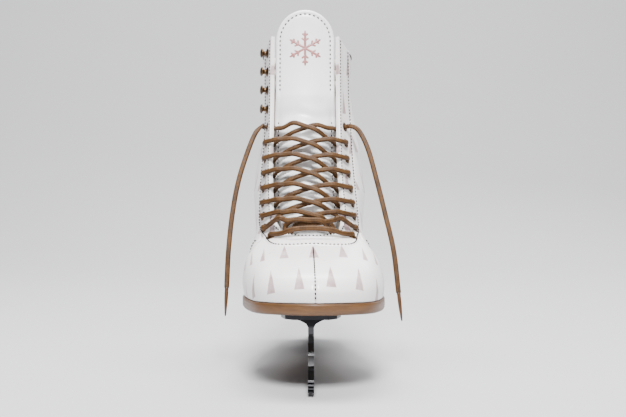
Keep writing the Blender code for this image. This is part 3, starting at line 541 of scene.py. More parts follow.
def printed_leather():
    """White leather with staggered rows of slim pale triangles and faint brushed streaks."""
    look = Look("printed_leather", WHITE, 0.33, Coat_Weight=0.25, Coat_Roughness=0.18,
                Specular_IOR_Level=0.5)
    across, up, _ = look.print_axes()
    row_place = look.over(look.minus(up, PRINT_FOOT), PRINT_UP)
    row = look.floor(row_place)
    shift = look.times(look.calculate("MODULO", look.size(row), 2.0), 0.5)
    column_place = look.plus(look.over(across, PRINT_ACROSS), shift)
    cell = look.node("CombineXYZ", look.floor(column_place), row).outputs[0]
    chance = look.node("TexWhiteNoise", cell, noise_dimensions="2D").outputs["Value"]
    lift = look.times(look.minus(chance, 0.5), 0.12)
    level = look.minus(look.minus(look.fraction(row_place), 0.06), lift)
    aside = look.size(look.minus(look.fraction(column_place), 0.5))
    narrow = look.times(look.minus(TRIANGLE_TOP, level), TRIANGLE_SLOPE)
    triangle = look.times(look.spread(look.minus(narrow, aside), -0.006, 0.012),
                          look.spread(level, 0.0, 0.015))
    streaks = look.noise(1.6, 5.0, 0.7, (60, 60, 9))
    ground = look.mix(look.spread(look.noise(26.0, 3.0), 0.35, 0.7), WHITE, (0.85, 0.815, 0.80))
    streaky = look.mix(look.spread(streaks, 0.55, 0.8, 0.0, 0.5), ground, (0.93, 0.915, 0.91))
    faded = look.times(triangle, look.spread(streaks, 0.3, 0.75, 0.95, 0.45))
    look.colour(faded, streaky, ROSE)
    look.grain()
    return look.made


def plain_leather(name, colour, roughness, strength):
    look = Look(name, colour, roughness, Coat_Weight=0.15, Coat_Roughness=0.25)
    look.colour(look.spread(look.noise(45.0), 0.35, 0.75), colour, shade(colour, 0.9))
    look.grain(strength)
    return look.made


def suede(name, colour):
    """Soft napped lining: matt, mottled, with a little sheen."""
    look = Look(name, colour, 0.9, Sheen_Weight=0.4, Sheen_Roughness=0.5)
    look.colour(look.spread(look.noise(240.0, 6.0, 0.7), 0.3, 0.7), shade(colour, 0.8), colour)
    look.bump(look.noise(900.0, 5.0), 0.5, 0.0003)
    return look.made


def crossed_waves(look, ways, half_turns):
    """Threads that pass over and under each other: two waves, multiplied."""
    return look.times(*[look.calculate("SINE", look.times(way, half_turns * math.pi)) for way in ways])


def woven(name, colour, thread=0.0011):
    """Plain cloth of over-and-under threads."""
    look = Look(name, colour, 0.85, Sheen_Weight=0.2)
    weave = crossed_waves(look, look.axes(look.spot((1 / thread,) * 3))[:2], 2)
    # The colour is darker where the weave dips: painted shade between the threads.
    look.colour(look.spread(weave, -1, 1), shade(colour, 0.75), colour)
    look.bump(weave, 0.4, 0.0003)
    return look.made


def sole_brown():
    """Burnished brown sole edge: long streaks of grain, darker bands and a satin finish."""
    look = Look("sole_brown", (0.24, 0.13, 0.07), 0.42, Coat_Weight=0.1, Coat_Roughness=0.3)
    grain = look.noise(3.2, 8.0, 0.65, (22, 14, 160))
    broad = look.noise(30.0, 3.0, 0.55, (1, 1, 3))
    brown = look.mix(look.spread(grain, 0.3, 0.72), (0.060, 0.026, 0.0075), (0.165, 0.074, 0.023))
    look.colour(look.spread(broad, 0.3, 0.75, 0.0, 0.4), brown, (0.072, 0.030, 0.008))
    look.rough(grain, 0.2, 0.8, 0.5, 0.34)
    look.bump(grain, 0.3, 0.0004)
    return look.made


def stacked_heel():
    """A heel of stacked leather lifts: fine level layers, each with its own grain."""
    look = Look("stacked_heel", (0.28, 0.15, 0.08), 0.45, Coat_Weight=0.15, Coat_Roughness=0.3)
    layer = look.fraction(look.axes(look.spot((1, 1, 1 / HEEL_LIFT)))[2])
    seam = look.spread(look.size(look.minus(layer, 0.5)), 0.43, 0.5)
    grain = look.noise(3.0, 8.0, 0.65, (20, 20, 190))
    brown = look.mix(look.spread(grain, 0.3, 0.72), (0.052, 0.022, 0.0065), (0.140, 0.062, 0.019))
    look.colour(look.times(seam, 0.8), brown, (0.09, 0.045, 0.022))
    look.bump(look.minus(grain, seam), 0.4, 0.0004)
    return look.made


def polished(name, colour, roughness, brushed=0.04, stretch=(30, 400, 30)):
    """Bright metal with faint brushing and smudges in its roughness."""
    look = Look(name, colour, roughness, 1.0)
    lines = look.noise(4.0, 4.0, 0.55, stretch)
    smudge = look.noise(55.0, 5.0, 0.6)
    level = look.spread(smudge, 0.35, 0.8, roughness - brushed, roughness + 2 * brushed)
    look.fill(look.shader, Roughness=look.plus(look.times(lines, brushed * 2), level))
    look.colour(look.spread(smudge, 0.3, 0.7), colour, shade(colour, 0.82))
    look.bump(lines, 0.05, 0.0001)
    return look


def blade_steel():
    """Dull polished steel; the bracket's flare is blackened, and the toe pick carries a painted dark reflection.
    """
    look = polished("blade_steel", (0.062, 0.062, 0.065), 0.34)
    _, behind, height = look.axes(look.spot())
    bracket = look.spread(height, DARK_ABOVE - 0.001, DARK_ABOVE + 0.001)
    # Near-black over the toe pick: a painted dark reflection of the steel.
    pick = look.times(look.spread(height, PICK_TOP, PICK_TOP - 0.0008),
                      look.spread(behind, PICK_BACK, PICK_BACK - 0.001))
    steel = look.shader.inputs["Base Color"].links[0].from_socket
    look.colour(look.calculate("MAXIMUM", bracket, pick), steel, (0.012, 0.012, 0.013))
    return look.made


def worn_bronze():
    """Dark bronze that is brighter where it is rubbed."""
    look = Look("worn_bronze", (0.09, 0.055, 0.03), 0.36, 1.0)
    patches = look.noise(420.0, 6.0, 0.7)
    look.colour(look.spread(patches, 0.45, 0.75), (0.07, 0.042, 0.024), (0.23, 0.14, 0.07))
    look.rough(patches, 0.3, 0.8, 0.46, 0.28)
    return look.made


def rubber():
    look = Look("heel_rubber", (0.045, 0.038, 0.034), 0.8)
    speckle = look.noise(900.0, 6.0, 0.7)
    look.colour(speckle, (0.03, 0.026, 0.023), (0.075, 0.062, 0.055))
    look.bump(speckle, 0.5, 0.0003)
    return look.made


def fibreboard():
    look = Look("fibreboard", (0.42, 0.33, 0.23), 0.85)
    fibres = look.noise(260.0, 8.0, 0.75, (1, 3, 1))
    look.colour(look.spread(fibres, 0.3, 0.7), (0.30, 0.22, 0.14), (0.52, 0.42, 0.30))
    look.bump(fibres, 0.4, 0.0003)
    return look.made


def lace_cord():
    """Waxed brown braid: two sets of threads cross along the lace, from its own coordinates."""
    light = (0.115, 0.052, 0.0145)
    look = Look("lace_cord", light, 0.5, Specular_IOR_Level=0.22)
    length, turn, _ = look.print_axes()
    along, around = look.over(length, LACE_WEAVE), look.times(turn, 6.0)
    braid = crossed_waves(look, (look.plus(along, around), look.minus(along, around)), 1)
    # The colour is painted shade down in the braid's grooves, plus random wear from noise.
    groove_shade_and_wear = look.plus(look.spread(braid, -1, 1, 0.25, 0.8),
                     look.spread(look.noise(150.0), 0.3, 0.7, -0.25, 0.25))
    look.colour(groove_shade_and_wear, (0.017, 0.0065, 0.0016), light)
    look.bump(braid, 0.5, 0.00025)
    return look.made


def thread():
    look = Look("thread", (0.012, 0.007, 0.005), 0.85, Specular_IOR_Level=0.15)
    look.colour(look.noise(2600.0, 2.0), (0.006, 0.004, 0.003), (0.026, 0.016, 0.010))
    return look.made


def paper():
    look = Look("studio_paper", (0.49, 0.49, 0.50), 0.75)
    look.colour(look.noise(6.0, 3.0), (0.48, 0.48, 0.49), (0.50, 0.50, 0.51))
    return look.made


LEATHER_LOOK = printed_leather()
PLAIN_LOOK = plain_leather("plain_white_leather", (0.88, 0.86, 0.85), 0.33, 0.22)
TONGUE_LOOK = plain_leather("tongue_leather", (0.90, 0.89, 0.89), 0.36, 0.15)
LINING_LOOK = suede("lining_leather", (0.62, 0.56, 0.48))
CLOTH_LOOK = woven("lining_cloth", (0.60, 0.58, 0.56))
THREAD_LOOK = thread()
BRONZE_LOOK = worn_bronze()
LACE_LOOK = lace_cord()
TIP_LOOK = plain_leather("lace_tip", (0.075, 0.030, 0.008), 0.35, 0.05)
SOLE_LOOK = sole_brown()
HEEL_LOOK = stacked_heel()
STEEL_LOOK = blade_steel()
DARK_LOOK = polished("dark_plate", (0.030, 0.030, 0.033), 0.30).made
SCREW_LOOK = polished("screw_steel", (0.50, 0.50, 0.51), 0.28, 0.06, (300, 300, 300)).made
ROSE_LOOK = plain_leather("rose_print", (0.36, 0.14, 0.13), 0.45, 0.1)


# ---------------------------------------------------------------- the upper
def facing_outer(part):
    return edge_curve(FACING_EDGE, part)


def facing_inner(part):
    return edge_curve(THROAT, part)


SEAM_TOP = facing_outer(SEAM_PART)
SEAM_TOP_BEHIND = at_place(*SEAM_TOP)[0]


@functools.lru_cache(maxsize=None)
def seam_place(height):
    """Front edge of the quarter: the vamp's seam below, the facing's outer edge above."""
    if height <= SEAM_TOP[1]:
        part = (height - LOWEST) / (SEAM_TOP[1] - LOWEST)
        return place_behind(SEAM_FOOT_BEHIND + (SEAM_TOP_BEHIND - SEAM_FOOT_BEHIND) * part, height)
    part = bisect(lambda part: edge_curve(FACING_EDGE, part)[1] < height, SEAM_PART, 1.0)
    return facing_outer(part)[0]


def collar_height(place):
    return table(COLLAR, folded(place))


PANEL_GAP = 0.008           # between two panels, in places
FOOT = 0.35                 # the upper's lower edge above the sole's upper face
GROOVE = 0.5                # depth of the seam along the middle of the vamp
UNDERLAP = 0.14             # how far the vamp runs under the facing, as a part of its width


def build_vamp():
    """Both halves as one panel, from the sole to under the facing, with closer columns mid-way."""
    grid, columns = [], []
    foot_last = seam_place(SEAM_FOOT)
    alongs = soft_steps(-1, 1, 58)
    alongs = np.sort(np.concatenate([alongs[np.abs(alongs) > 0.036], steps(-0.035, 0.035, 7)]))
    for along in alongs:
        near = abs(along)
        foot = foot_last * near
        part = 0.002 + (SEAM_PART - 0.002) * near
        outer_edge, inner_edge = np.array(facing_outer(part)), np.array(facing_inner(part))
        top_place, top_height = outer_edge + (inner_edge - outer_edge) * UNDERLAP
        columns.append((1 if along >= 0 else -1, foot, top_place, top_height, feather(foot) + FOOT))
    for up in soft_steps(0, 1, 40):
        row = []
        for side, foot, top_place, top_height, low in columns:
            height = low + (top_height - low) * up
            row.append((on_side(side, foot + (top_place - foot) * up) % (2 * HALF_TURN), height))
        for index in (0, -1):
            row[index] = (on_side(1 if index else -1, seam_place(row[index][1])), row[index][1])
        grid.append(row)

    def outer(place, height):
        """Puckered a little along the middle seam, where the stitches pull the leather in."""
        near = np.abs(print_uv(place, height)[:, 0])
        return 0.25 * np.exp(-(near / 3.2) ** 2) - (GROOVE + 0.25) * np.exp(-(near / 0.55) ** 2)
    panel("vamp", grid, outer, -LEATHER, LEATHER_LOOK, ("vamp_left", "vamp_right"))


def ankle_creases(place, height):
    """Faint folds where the leather bends at the ankle, on a slant down towards the heel."""
    near = folded(place)
    across = np.exp(-((near - 4.6) / 1.3) ** 2) * np.exp(-((height - 168) / 34.0) ** 2)
    wave = np.sin((height + 9.0 * near) * 2 * math.pi / 19.0 + 0.8 * np.sin(near * 2.1))
    return 0.32 * across * wave


def build_quarter(side, word):
    low_front, high_front = feather(seam_place(SEAM_FOOT)) + FOOT, collar_height(3)
    grid = []
    for height in soft_steps(low_front, high_front, 62, 0.004):
        up = (height - low_front) / (high_front - low_front)
        edge = seam_place(height) + PANEL_GAP
        row = []
        for along in soft_steps(0, 1, 58, 0.006):
            place = edge + (HALF_TURN - 0.004 - edge) * along
            low = feather(place) + FOOT
            row.append((on_side(side, place), low + (collar_height(place) - low) * up))
        grid.append(row)
    panel(f"quarter_panel_{word}", grid, ankle_creases, -LEATHER, LEATHER_LOOK, (f"quarter_{word}",),
          from_back=True)


FACING_PROUD = 0.4          # how far the facing stands over the panels beside it
HOLE_RADIUS = 2.5           # of the eyelet holes


def ring_solid(profile, centre, axis, sides):
    """Points and faces of a solid turned about an axis; a profile that leaves it is closed on itself."""
    rotation = Vector((0, 0, 1)).rotation_difference(Vector(axis)).to_matrix()
    rotation = np.array(rotation)
    angles = np.arange(sides) * 2 * math.pi / sides
    points = []
    for along, radius in profile:
        local = np.stack([radius * np.cos(angles), radius * np.sin(angles), np.full(sides, along)], axis=1)
        points.append(np.asarray(centre) + local @ rotation.T)
    count = len(profile)
    rows = count + 1 if profile[0][1] > 0 else count
    return np.vstack(points), [[index % (count * sides) for index in face]
                               for face in loft_faces(rows, sides, caps=False)]


def eyelet_spots():
    for side in (-1, 1):
        for half, height in EYELETS:
            place = on_side(side, place_of(half, height))
            yield surface(place, height)[0], outward(place, height)[0]


def apply_boolean(target, cutter):
    tool = target.modifiers.new("holes", "BOOLEAN")
    tool.operation = "DIFFERENCE"
    tool.solver = "EXACT"
    tool.object = cutter
    graph = bpy.context.evaluated_depsgraph_get()
    done = bpy.data.meshes.new_from_object(target.evaluated_get(graph))
    target.modifiers.clear()
    target.data = done
    bpy.data.objects.remove(cutter)


def facing_parts(top, low, count):
    """Down the facing on the -X side and up it on the other, as (side, part of its length)."""
    return ([(-1, part) for part in steps(top, low, count)]
            + [(1, part) for part in steps(low, top, count)])


def build_facing():
    """One U-shaped piece of leather round the lacing, with a hole for each eyelet."""
    grid = []
    for side, part in facing_parts(1, 0.012, 66):
        outer, inner = facing_outer(part), facing_inner(part)
        row = []
        for across in soft_steps(0, 1, 8, 0.045):
            place = outer[0] + (inner[0] - outer[0]) * across
            row.append((on_side(side, max(place, 0.002)), outer[1] + (inner[1] - outer[1]) * across))
        grid.append(row)
    made = panel("facing", grid, FACING_PROUD, -FACING, LEATHER_LOOK, ("facing_left", "facing_right"),
                 rim=0.5)
    holes = [ring_solid(((-6, 0), (-6, HOLE_RADIUS), (4, HOLE_RADIUS), (4, 0)), spot, axis, 20)
             for spot, axis in eyelet_spots()]
    apply_boolean(made, add_mesh("cutter", *join(holes), body=None))


def back_grid(first, low, high, rows, columns, edge=0.02):
    """Rows of (place, height) across the heel, from a place on one side to the same on the other."""
    grid = []
    for up in soft_steps(0, 1, rows, edge):
        row = []
        for place in soft_steps(first, 2 * HALF_TURN - first, columns, edge):
            near = folded(place)
            row.append((place, low(near) + (high(near) - low(near)) * up))
        grid.append(row)
    return grid


LINING = 1.6
LINING_FIRST = 4.3          # place where the lining and the collar padding start
COUNTER_FIRST = 5.7         # and where the heel counter under the lining does
COUNTER_TOP = 150.0
COLLAR_LOW = 30.0           # depth of the collar padding


def counter_rise(place, height):
    near = folded(place)
    return 2.9 * ramp(near, COUNTER_FIRST - 0.5, 0.5) * ramp(COUNTER_TOP + 8 - height, 0, 8)


def collar_pillow(place, height):
    """The collar padding's inner face: three sewn rolls that narrow to the edges."""
    near = folded(place)
    top = collar_height(near) - 1.0
    down = np.clip((top - height) / (COLLAR_LOW - 1.0), 0, 1)
    rolls = np.abs(np.sin(down * 3 * math.pi)) ** 0.55
    ends = np.clip((near - 4.3) / 0.35, 0, 1) ** 0.5
    return -5.4 - 3.6 * rolls * ends


def build_back():
    inside = -LEATHER - LAYER_GAP
    panel("shaft_lining",
          back_grid(LINING_FIRST, lambda place: feather(place) + 4.2,
                    lambda place: collar_height(place) - COLLAR_LOW - 0.3, 30, 50),
          lambda place, height: inside - counter_rise(place, height),
          lambda place, height: inside - LINING - counter_rise(place, height),
          LINING_LOOK, ("lining",), "lining_leather", 0.3)
    collar = panel("collar_pad",
                   back_grid(LINING_FIRST, lambda place: collar_height(place) - COLLAR_LOW,
                             lambda place: collar_height(place) - 1.0, 40, 60),
                   inside, collar_pillow, LINING_LOOK, ("collar_padding",), "padding", 0.4)

    def crown(place, height):
        """Thickest along its middle, with the edges skived thin."""
        return 0.6 + 1.5 * (1 - (np.abs(place - HALF_TURN) / 0.47) ** 4)
    panel("backstay_strip", back_grid(7.55, lambda place: feather(place) + 1.0,
                                      lambda place: collar_height(place) - 2.0, 50, 12),
          crown, 0.3, PLAIN_LOOK, ("backstay",), rim=0.25)


build_vamp()
for boot_side in SIDES:
    build_quarter(*boot_side)
build_facing()
build_back()


# ---------------------------------------------------------------- tongue
def tongue_centre(height):
    return table([(row[0], row[1]) for row in LEAN], height)


def tongue_point(across, height, depth):
    """Points of the tongue: across from the centre line, and a depth behind its front face."""
    across, height, depth = np.broadcast_arrays(*arrays(across, height, depth))
    bow = 4.0 * (across / 25.0) ** 2
    tilt = (table(TONGUE_LINE, height + 2) - table(TONGUE_LINE, height - 2)) / 4
    length = np.hypot(1.0, tilt)
    return np.stack([tongue_centre(height) + across,
                     TOE_Y + table(TONGUE_LINE, height) + bow + depth / length,
                     height - depth * tilt / length], axis=1)


def tongue_normal(across, height):
    along = tongue_point(across + 0.5, height, 0) - tongue_point(across - 0.5, height, 0)
    up = tongue_point(across, height + 0.5, 0) - tongue_point(across, height - 0.5, 0)
    return unit(np.cross(along, up))


TONGUE_LOW = 92.0
LOWER_FOOT = 12.5           # half width of the lower tongue at its foot
LOWER_HALF = 25.0           # and above it
LOWER_WIDENS = 30.3
TONGUE_ROUND = 2.3          # radius of its edges
SEAM_INSET = 3.6            # the edge stitching's distance from the edge


def tongue_half(height):
    """Half width of the tongue below its dome, and how far it has widened into the upper part."""
    lower_half = LOWER_FOOT + (LOWER_HALF - LOWER_FOOT) * ramp(height, TONGUE_LOW, LOWER_WIDENS)
    widen = eased(height, WIDENING[0], WIDENING[1] - WIDENING[0])
    return lower_half + (TONGUE_HALF - lower_half) * widen, widen


def tongue_shape(across, height):
    """For points of the tongue: distance in from its edge, front depth and back depth."""
    half, widen = tongue_half(height)
    over = ramp(height, TONGUE_TOP - TONGUE_DOME, TONGUE_DOME)
    inside = half * (1 - np.sqrt((across / half) ** 2 + over ** 2))
    tuck, sides = ramp(118.0 - height, 0, 14.0), ramp(np.abs(across), 17, 6)
    lower = 1.5 + 4.5 * (across / LOWER_HALF) ** 2 + 3.0 * tuck + 1.8 * sides
    folds = 0.55 * np.sin(height * 2 * math.pi / 15.0 + 0.9 * np.sin(across / 6.0))
    lower = lower + folds * ramp(height, 118, 10) * (1 - widen)
    front = lower + (0.5 - lower) * widen
    back = lower + 4.5 + (1.5 - lower) * widen
    seam = 0.55 * np.exp(-((inside - SEAM_INSET) / 0.9) ** 2)
    puff = -0.45 * ramp(inside, SEAM_INSET, 6.0) ** 0.5 * widen
    near = TONGUE_ROUND - np.clip(inside, 0, TONGUE_ROUND)
    drop = TONGUE_ROUND - np.sqrt(np.maximum(TONGUE_ROUND ** 2 - near ** 2, 0))
    return inside, front + drop + (seam + puff) * (inside > 0), back - drop


def tongue_front(across, height, lift=0.0):
    return tongue_point(across, height, tongue_shape(across, height)[1] - lift)


def tongue_half_at(height):
    over = ramp(height, TONGUE_TOP - TONGUE_DOME, TONGUE_DOME)
    return tongue_half(height)[0] * math.sqrt(1 - over ** 2)


def build_tongue():
    dome = TONGUE_TOP - TONGUE_DOME
    turns = np.radians(np.concatenate([steps(0, 80, 22)[1:], [84, 87, 88.8, 89.6]]))
    heights = np.concatenate([soft_steps(TONGUE_LOW, dome, 110, 0.003)[:-2],
                              dome + TONGUE_DOME * np.sin(turns)])
    sides = np.sin(steps(-math.pi / 2, math.pi / 2, 45))
    layers = []
    for layer in (1, 2):
        for height in heights:
            across = sides * tongue_half_at(height)
            level = np.full(len(across), height)
            layers.append(tongue_point(across, level, tongue_shape(across, level)[layer]))
    add_mesh("tongue_body", np.vstack(layers), shell_faces(len(heights), len(sides)), TONGUE_LOOK,
             body=BENDS, replaced=("tongue_lower", "tongue_upper"))


# ---------------------------------------------------------------- stitches and emblem
def bar(points, normals, widths, heights):
    """Points and faces of one closed bar along a few points, with an oval section."""
    count = 8
    angles = np.arange(count) * 2 * math.pi / count
    across = np.cross(unit(np.gradient(points, axis=0)), normals)
    wide, high = (turn[None, :, None] * size[:, None, None]
                  for turn, size in ((np.cos(angles), widths), (np.sin(angles), heights)))
    ring = points[:, None, :] + across[:, None, :] * wide + normals[:, None, :] * high
    return ring.reshape(-1, 3), loft_faces(len(points), count)


# One stitch: places along it, its height over the leather and its relative thickness there.
STITCH_PARTS = steps(0, 1, 6)
STITCH_RISE = np.array([-0.4, 0.2, 0.34, 0.34, 0.2, -0.4])
STITCH_THICK = 0.38
STITCH_TAPER = np.array([0.55, 0.95, 1.0, 1.0, 0.95, 0.55])


def sew(points, normals, dash, period, width):
    """Solids of the stitches along a finely sampled line: each is a dash, one in every period."""
    lengths = run(points)
    count = int(lengths[-1] // period)
    solids = []
    for index in range(count):
        at = (index + 0.5) * lengths[-1] / count + (STITCH_PARTS - 0.5) * dash
        ups = unit(along_line(at, lengths, normals))
        spots = along_line(at, lengths, points) + ups * STITCH_RISE[:, None]
        solids.append(bar(spots, ups, width / 2 * STITCH_TAPER, STITCH_THICK * STITCH_TAPER))
    return solids


def boot_line(path, rise, dash=1.9, period=2.9, width=1.25):
    """Stitches along (place, height) pairs of the upper, at a rise above its surface."""
    array = np.array(path, float)
    places, heights = array[:, 0] % (2 * HALF_TURN), array[:, 1]
    return sew(offset(places, heights, np.full(len(array), rise)), outward(places, heights),
               dash, period, width)


def facing_line(inset, from_inner=False, low=0.012):
    """A line round the U of the facing, a distance in from one of its edges."""
    path = []
    for side, part in facing_parts(0.995, low, 150):
        outer, inner = facing_outer(part), facing_inner(part)
        share = inset / math.dist(surface(*outer)[0], surface(*inner)[0])
        share = 1 - share if from_inner else share
        path.append((on_side(side, max(outer[0] + (inner[0] - outer[0]) * share, 0.001)),
                     outer[1] + (inner[1] - outer[1]) * share))
    return path


def seam_lines(side):
    """Two rows beside the vamp's side seam."""
    for shift in (0.10, 0.16):
        path = []
        for height in steps(feather(seam_place(64)) + 2, SEAM_TOP[1] - 2.5, 60):
            path.append((on_side(side, seam_place(float(height)) + shift), float(height)))
        yield path


def build_stitches():
    solids = boot_line(facing_line(1.7), FACING_PROUD)
    solids += boot_line(facing_line(1.9, from_inner=True, low=0.02), FACING_PROUD, 1.7, 2.7, 0.95)
    middle = [(0.0, height) for height in steps(feather(0.05) + 2.5, 95.5, 90)]
    solids += boot_line(middle, 0.0, 1.9, 2.9, 1.05)
    for side in (-1, 1):
        for path in seam_lines(side):
            solids += boot_line(path, 0.05)
        collar = [(on_side(side, place), collar_height(place) - 2.6) for place in steps(4.1, 7.5, 90)]
        solids += boot_line(collar, 0.05)
        strip = [(on_side(side, 7.585), height) for height in steps(104, 257, 90)]
        solids += boot_line(strip, 0.95, 1.8, 2.8, 0.9)
    add_mesh("boot_stitches", *join(solids), THREAD_LOOK)


def tongue_sewing():
    """The dashes that follow the tongue's edge, up one side, over the dome and down the other."""
    dome = TONGUE_TOP - TONGUE_DOME
    half, high = TONGUE_HALF - SEAM_INSET, TONGUE_DOME * (1 - SEAM_INSET / TONGUE_HALF)
    ups = steps(218.0, dome, 60)
    turn = np.radians(steps(0, 180, 90))
    across = np.concatenate([np.full(60, half), half * np.cos(turn), np.full(60, -half)])
    height = np.concatenate([ups, dome + high * np.sin(turn), ups[::-1]])
    solids = sew(tongue_front(across, height), tongue_normal(across, height), 2.4, 3.7, 1.1)
    lower = steps(120.0, 196.0, 70)
    for side in (-1, 1):
        across = np.full(70, side * (LOWER_HALF - SEAM_INSET))
        solids += sew(tongue_front(across, lower), tongue_normal(across, lower), 2.4, 3.7, 1.0)
    add_mesh("tongue_stitches", *join(solids), THREAD_LOOK, body=BENDS)


EMBLEM_HEIGHT = 253.5
EMBLEM_ARM = 14.5
TWIGS = ((0.42, 3.6), (0.7, 3.0))   # share of the way along the arm, length


def build_emblem():
    """A plain six-armed snowflake, printed thick on the tongue."""
    solids = []
    for arm in range(6):
        heading = math.radians(90 + 60 * arm)
        tip = np.array([math.cos(heading), math.sin(heading)])
        bars = [(0 * tip, EMBLEM_ARM * tip, 0.95)]
        for share, twig in TWIGS:
            for turn in (-50, 50):
                away = heading + math.radians(turn)
                start = EMBLEM_ARM * share * tip
                bars.append((start, start + twig * np.array([math.cos(away), math.sin(away)]), 0.75))
        for start, end, width in bars:
            flat = start + (end - start) * steps(0, 1, 9)[:, None]
            across, height = flat[:, 0], EMBLEM_HEIGHT + flat[:, 1]
            taper = np.array([0.5] + [1.0] * 7 + [0.5])
            solids.append(bar(tongue_front(across, height, 0.02), tongue_normal(across, height),
                              width * taper, 0.22 * taper))
    add_mesh("tongue_emblem", *join(solids), ROSE_LOOK, body=BENDS)


build_tongue()
build_stitches()
tongue_sewing()
build_emblem()


# ---------------------------------------------------------------- eyelets and hooks
# Turned outlines: (height over the leather, radius) pairs.
EYELET = ((-3.2, 2.05), (0.35, 2.05), (0.75, 2.25), (1.0, 2.7), (0.95, 3.2), (0.7, 3.65), (0.35, 3.85),
          (0.05, 3.8), (0.05, 2.45), (-3.2, 2.4))
HOOK = ((0.3, 0), (0.3, 3.7), (0.7, 3.95), (1.2, 3.6), (1.6, 2.6), (2.1, 2.0), (3.4, 1.85), (4.2, 2.2),
        (4.7, 3.2), (5.1, 3.75), (5.6, 3.8), (6.1, 3.3), (6.5, 2.2), (6.7, 0))


def build_metalwork():
    eyelets = [ring_solid(EYELET, spot, axis, 28) for spot, axis in eyelet_spots()]
    add_mesh("eyelets", *join(eyelets), BRONZE_LOOK, slot="bronze", sharp=60,
             replaced=[f"eyelet_{word}_{number + 1}" for _, word in SIDES
                       for number in range(len(EYELETS))])
    hooks = []
    for half, height in HOOKS:
        place = on_side(-1, place_of(half, height))
        hooks.append(ring_solid(HOOK, offset(place, height, 0.15)[0], outward(place, height)[0], 28))
    add_mesh("speed_hooks", *join(hooks), BRONZE_LOOK, slot="bronze", sharp=60,
             replaced=[f"lace_hook_{number + 1}" for number in range(len(HOOKS))])


# ---------------------------------------------------------------- laces, on the CAD's route
BAR_HEIGHT = 108.8          # the bottom bar of the lace, and the lowest that a crossing starts
OPENING_HALF = 27.4         # half width of the opening over most of its height
BEHIND_FACING = -FACING - 2.8
OVER, UNDER = 7.2, 3.6      # lift over the tongue of the two strands of a crossing
LACE_SIDES = 14


def facing_spot(side, pair, rise, inward=0.0):
    """A point over or behind an eyelet pair's facing; inward moves it towards the opening."""
    half, height = EYELETS[pair]
    return offset(on_side(side, place_of(half - inward, height)), height, rise)[0]


def over_tongue(across, height, lift):
    return tongue_point(across, height, -lift)[0]


def opening_half(height):
    """Half width of the lacing opening at a height above its lower edge."""
    return float(np.interp(height, [row[1] for row in THROAT], [row[0] for row in THROAT]))


def free_point(side, across, behind, height):
    return np.array([side * across, TOE_Y + behind, height])


def under_facing(side, pair):
    """From an eyelet's hole, behind the facing's edge and out over the tongue."""
    inside = facing_spot(side, pair, BEHIND_FACING)
    if pair == 0:
        return [inside, free_point(side, 21.5, 90.6, 99.0), free_point(side, 16.0, 90.2, 104.4),
                free_point(side, 12.5, 87.6, 108.9)]
    height = EYELETS[pair][1] + 1.0
    edge = opening_half(height)
    deeper = max(0.0, (OPENING_HALF - edge) * 0.5)
    return [inside, over_tongue(side * (edge - 3.3), height - 0.6, -3.8 - deeper),
            over_tongue(side * (edge - 5.4), height + 0.4 + deeper, -0.8 - deeper),
            over_tongue(side * (edge - 10), height + 2.2 + deeper, 0.6)]


def lace_strand(side, pair):
    """One crossing of the tongue; the strands from the right pass over those from the left."""
    low = max(EYELETS[pair][1] + 1.2, BAR_HEIGHT)
    gap = EYELETS[pair + 1][1] + 1.2 - low
    middle = (OVER if side > 0 else UNDER) + (1.2 if pair == 0 else 0.0)
    return under_facing(side, pair) + [over_tongue(side * 9, low + 0.44 * gap, middle - 0.8),
                                       over_tongue(0, low + 0.66 * gap, middle),
                                       over_tongue(-side * 9, low + 0.84 * gap, middle + 0.6)]


def into_eyelet(side, pair):
    """Over the facing's edge and down through an eyelet."""
    return [facing_spot(side, pair, 2.9, 3.2), facing_spot(side, pair, 3.0, 1.1),
            facing_spot(side, pair, 1.3), facing_spot(side, pair, -1.5)]


def arrive_outside(side, pair):
    height = EYELETS[pair][1]
    higher = 1.4 * max(0.0, OPENING_HALF - opening_half(height))
    return [over_tongue(side * 17.5, height - 0.1, 5.6 + 0.5 * higher),
            over_tongue(side * 23, height, 5.4 + 0.8 * higher)] + into_eyelet(side, pair)


def arrive_inside(side, pair):
    height = EYELETS[pair][1]
    return [over_tongue(side * 17.5, height - 2.4, 2.4), over_tongue(side * 22.2, height - 1.2, -0.8),
            over_tongue(side * 24.2, height - 0.5, -3.8), facing_spot(side, pair, BEHIND_FACING),
            facing_spot(side, pair, -1.0), facing_spot(side, pair, 2.4)]


def lace_route(side):
    """From the middle of the bottom bar, criss-cross up to the top eyelets."""
    route = [free_point(side, 0, 74.5, BAR_HEIGHT), free_point(side, 13, 75.5, 107.8),
             facing_spot(side, 0, 3.8, 9.0)] + into_eyelet(side, 0)
    here, last = side, len(EYELETS) - 1
    for pair in range(last):
        route += lace_strand(here, pair)
        here = -here
        route += arrive_inside(here, pair + 1) if pair + 1 == last else arrive_outside(here, pair + 1)
    return route, here


def smooth_route(route, spacing):
    """Evenly spaced points on a smooth curve through the route, and the length up to each."""
    rows = np.array(route, float)
    fine = np.array([even_spline(rows, at) for at in np.linspace(0, len(rows) - 1, 24 * len(rows))])
    lengths = run(fine)
    places = np.linspace(0, lengths[-1], max(2, int(round(lengths[-1] / spacing)) + 1))
    return along_line(places, lengths, fine), places


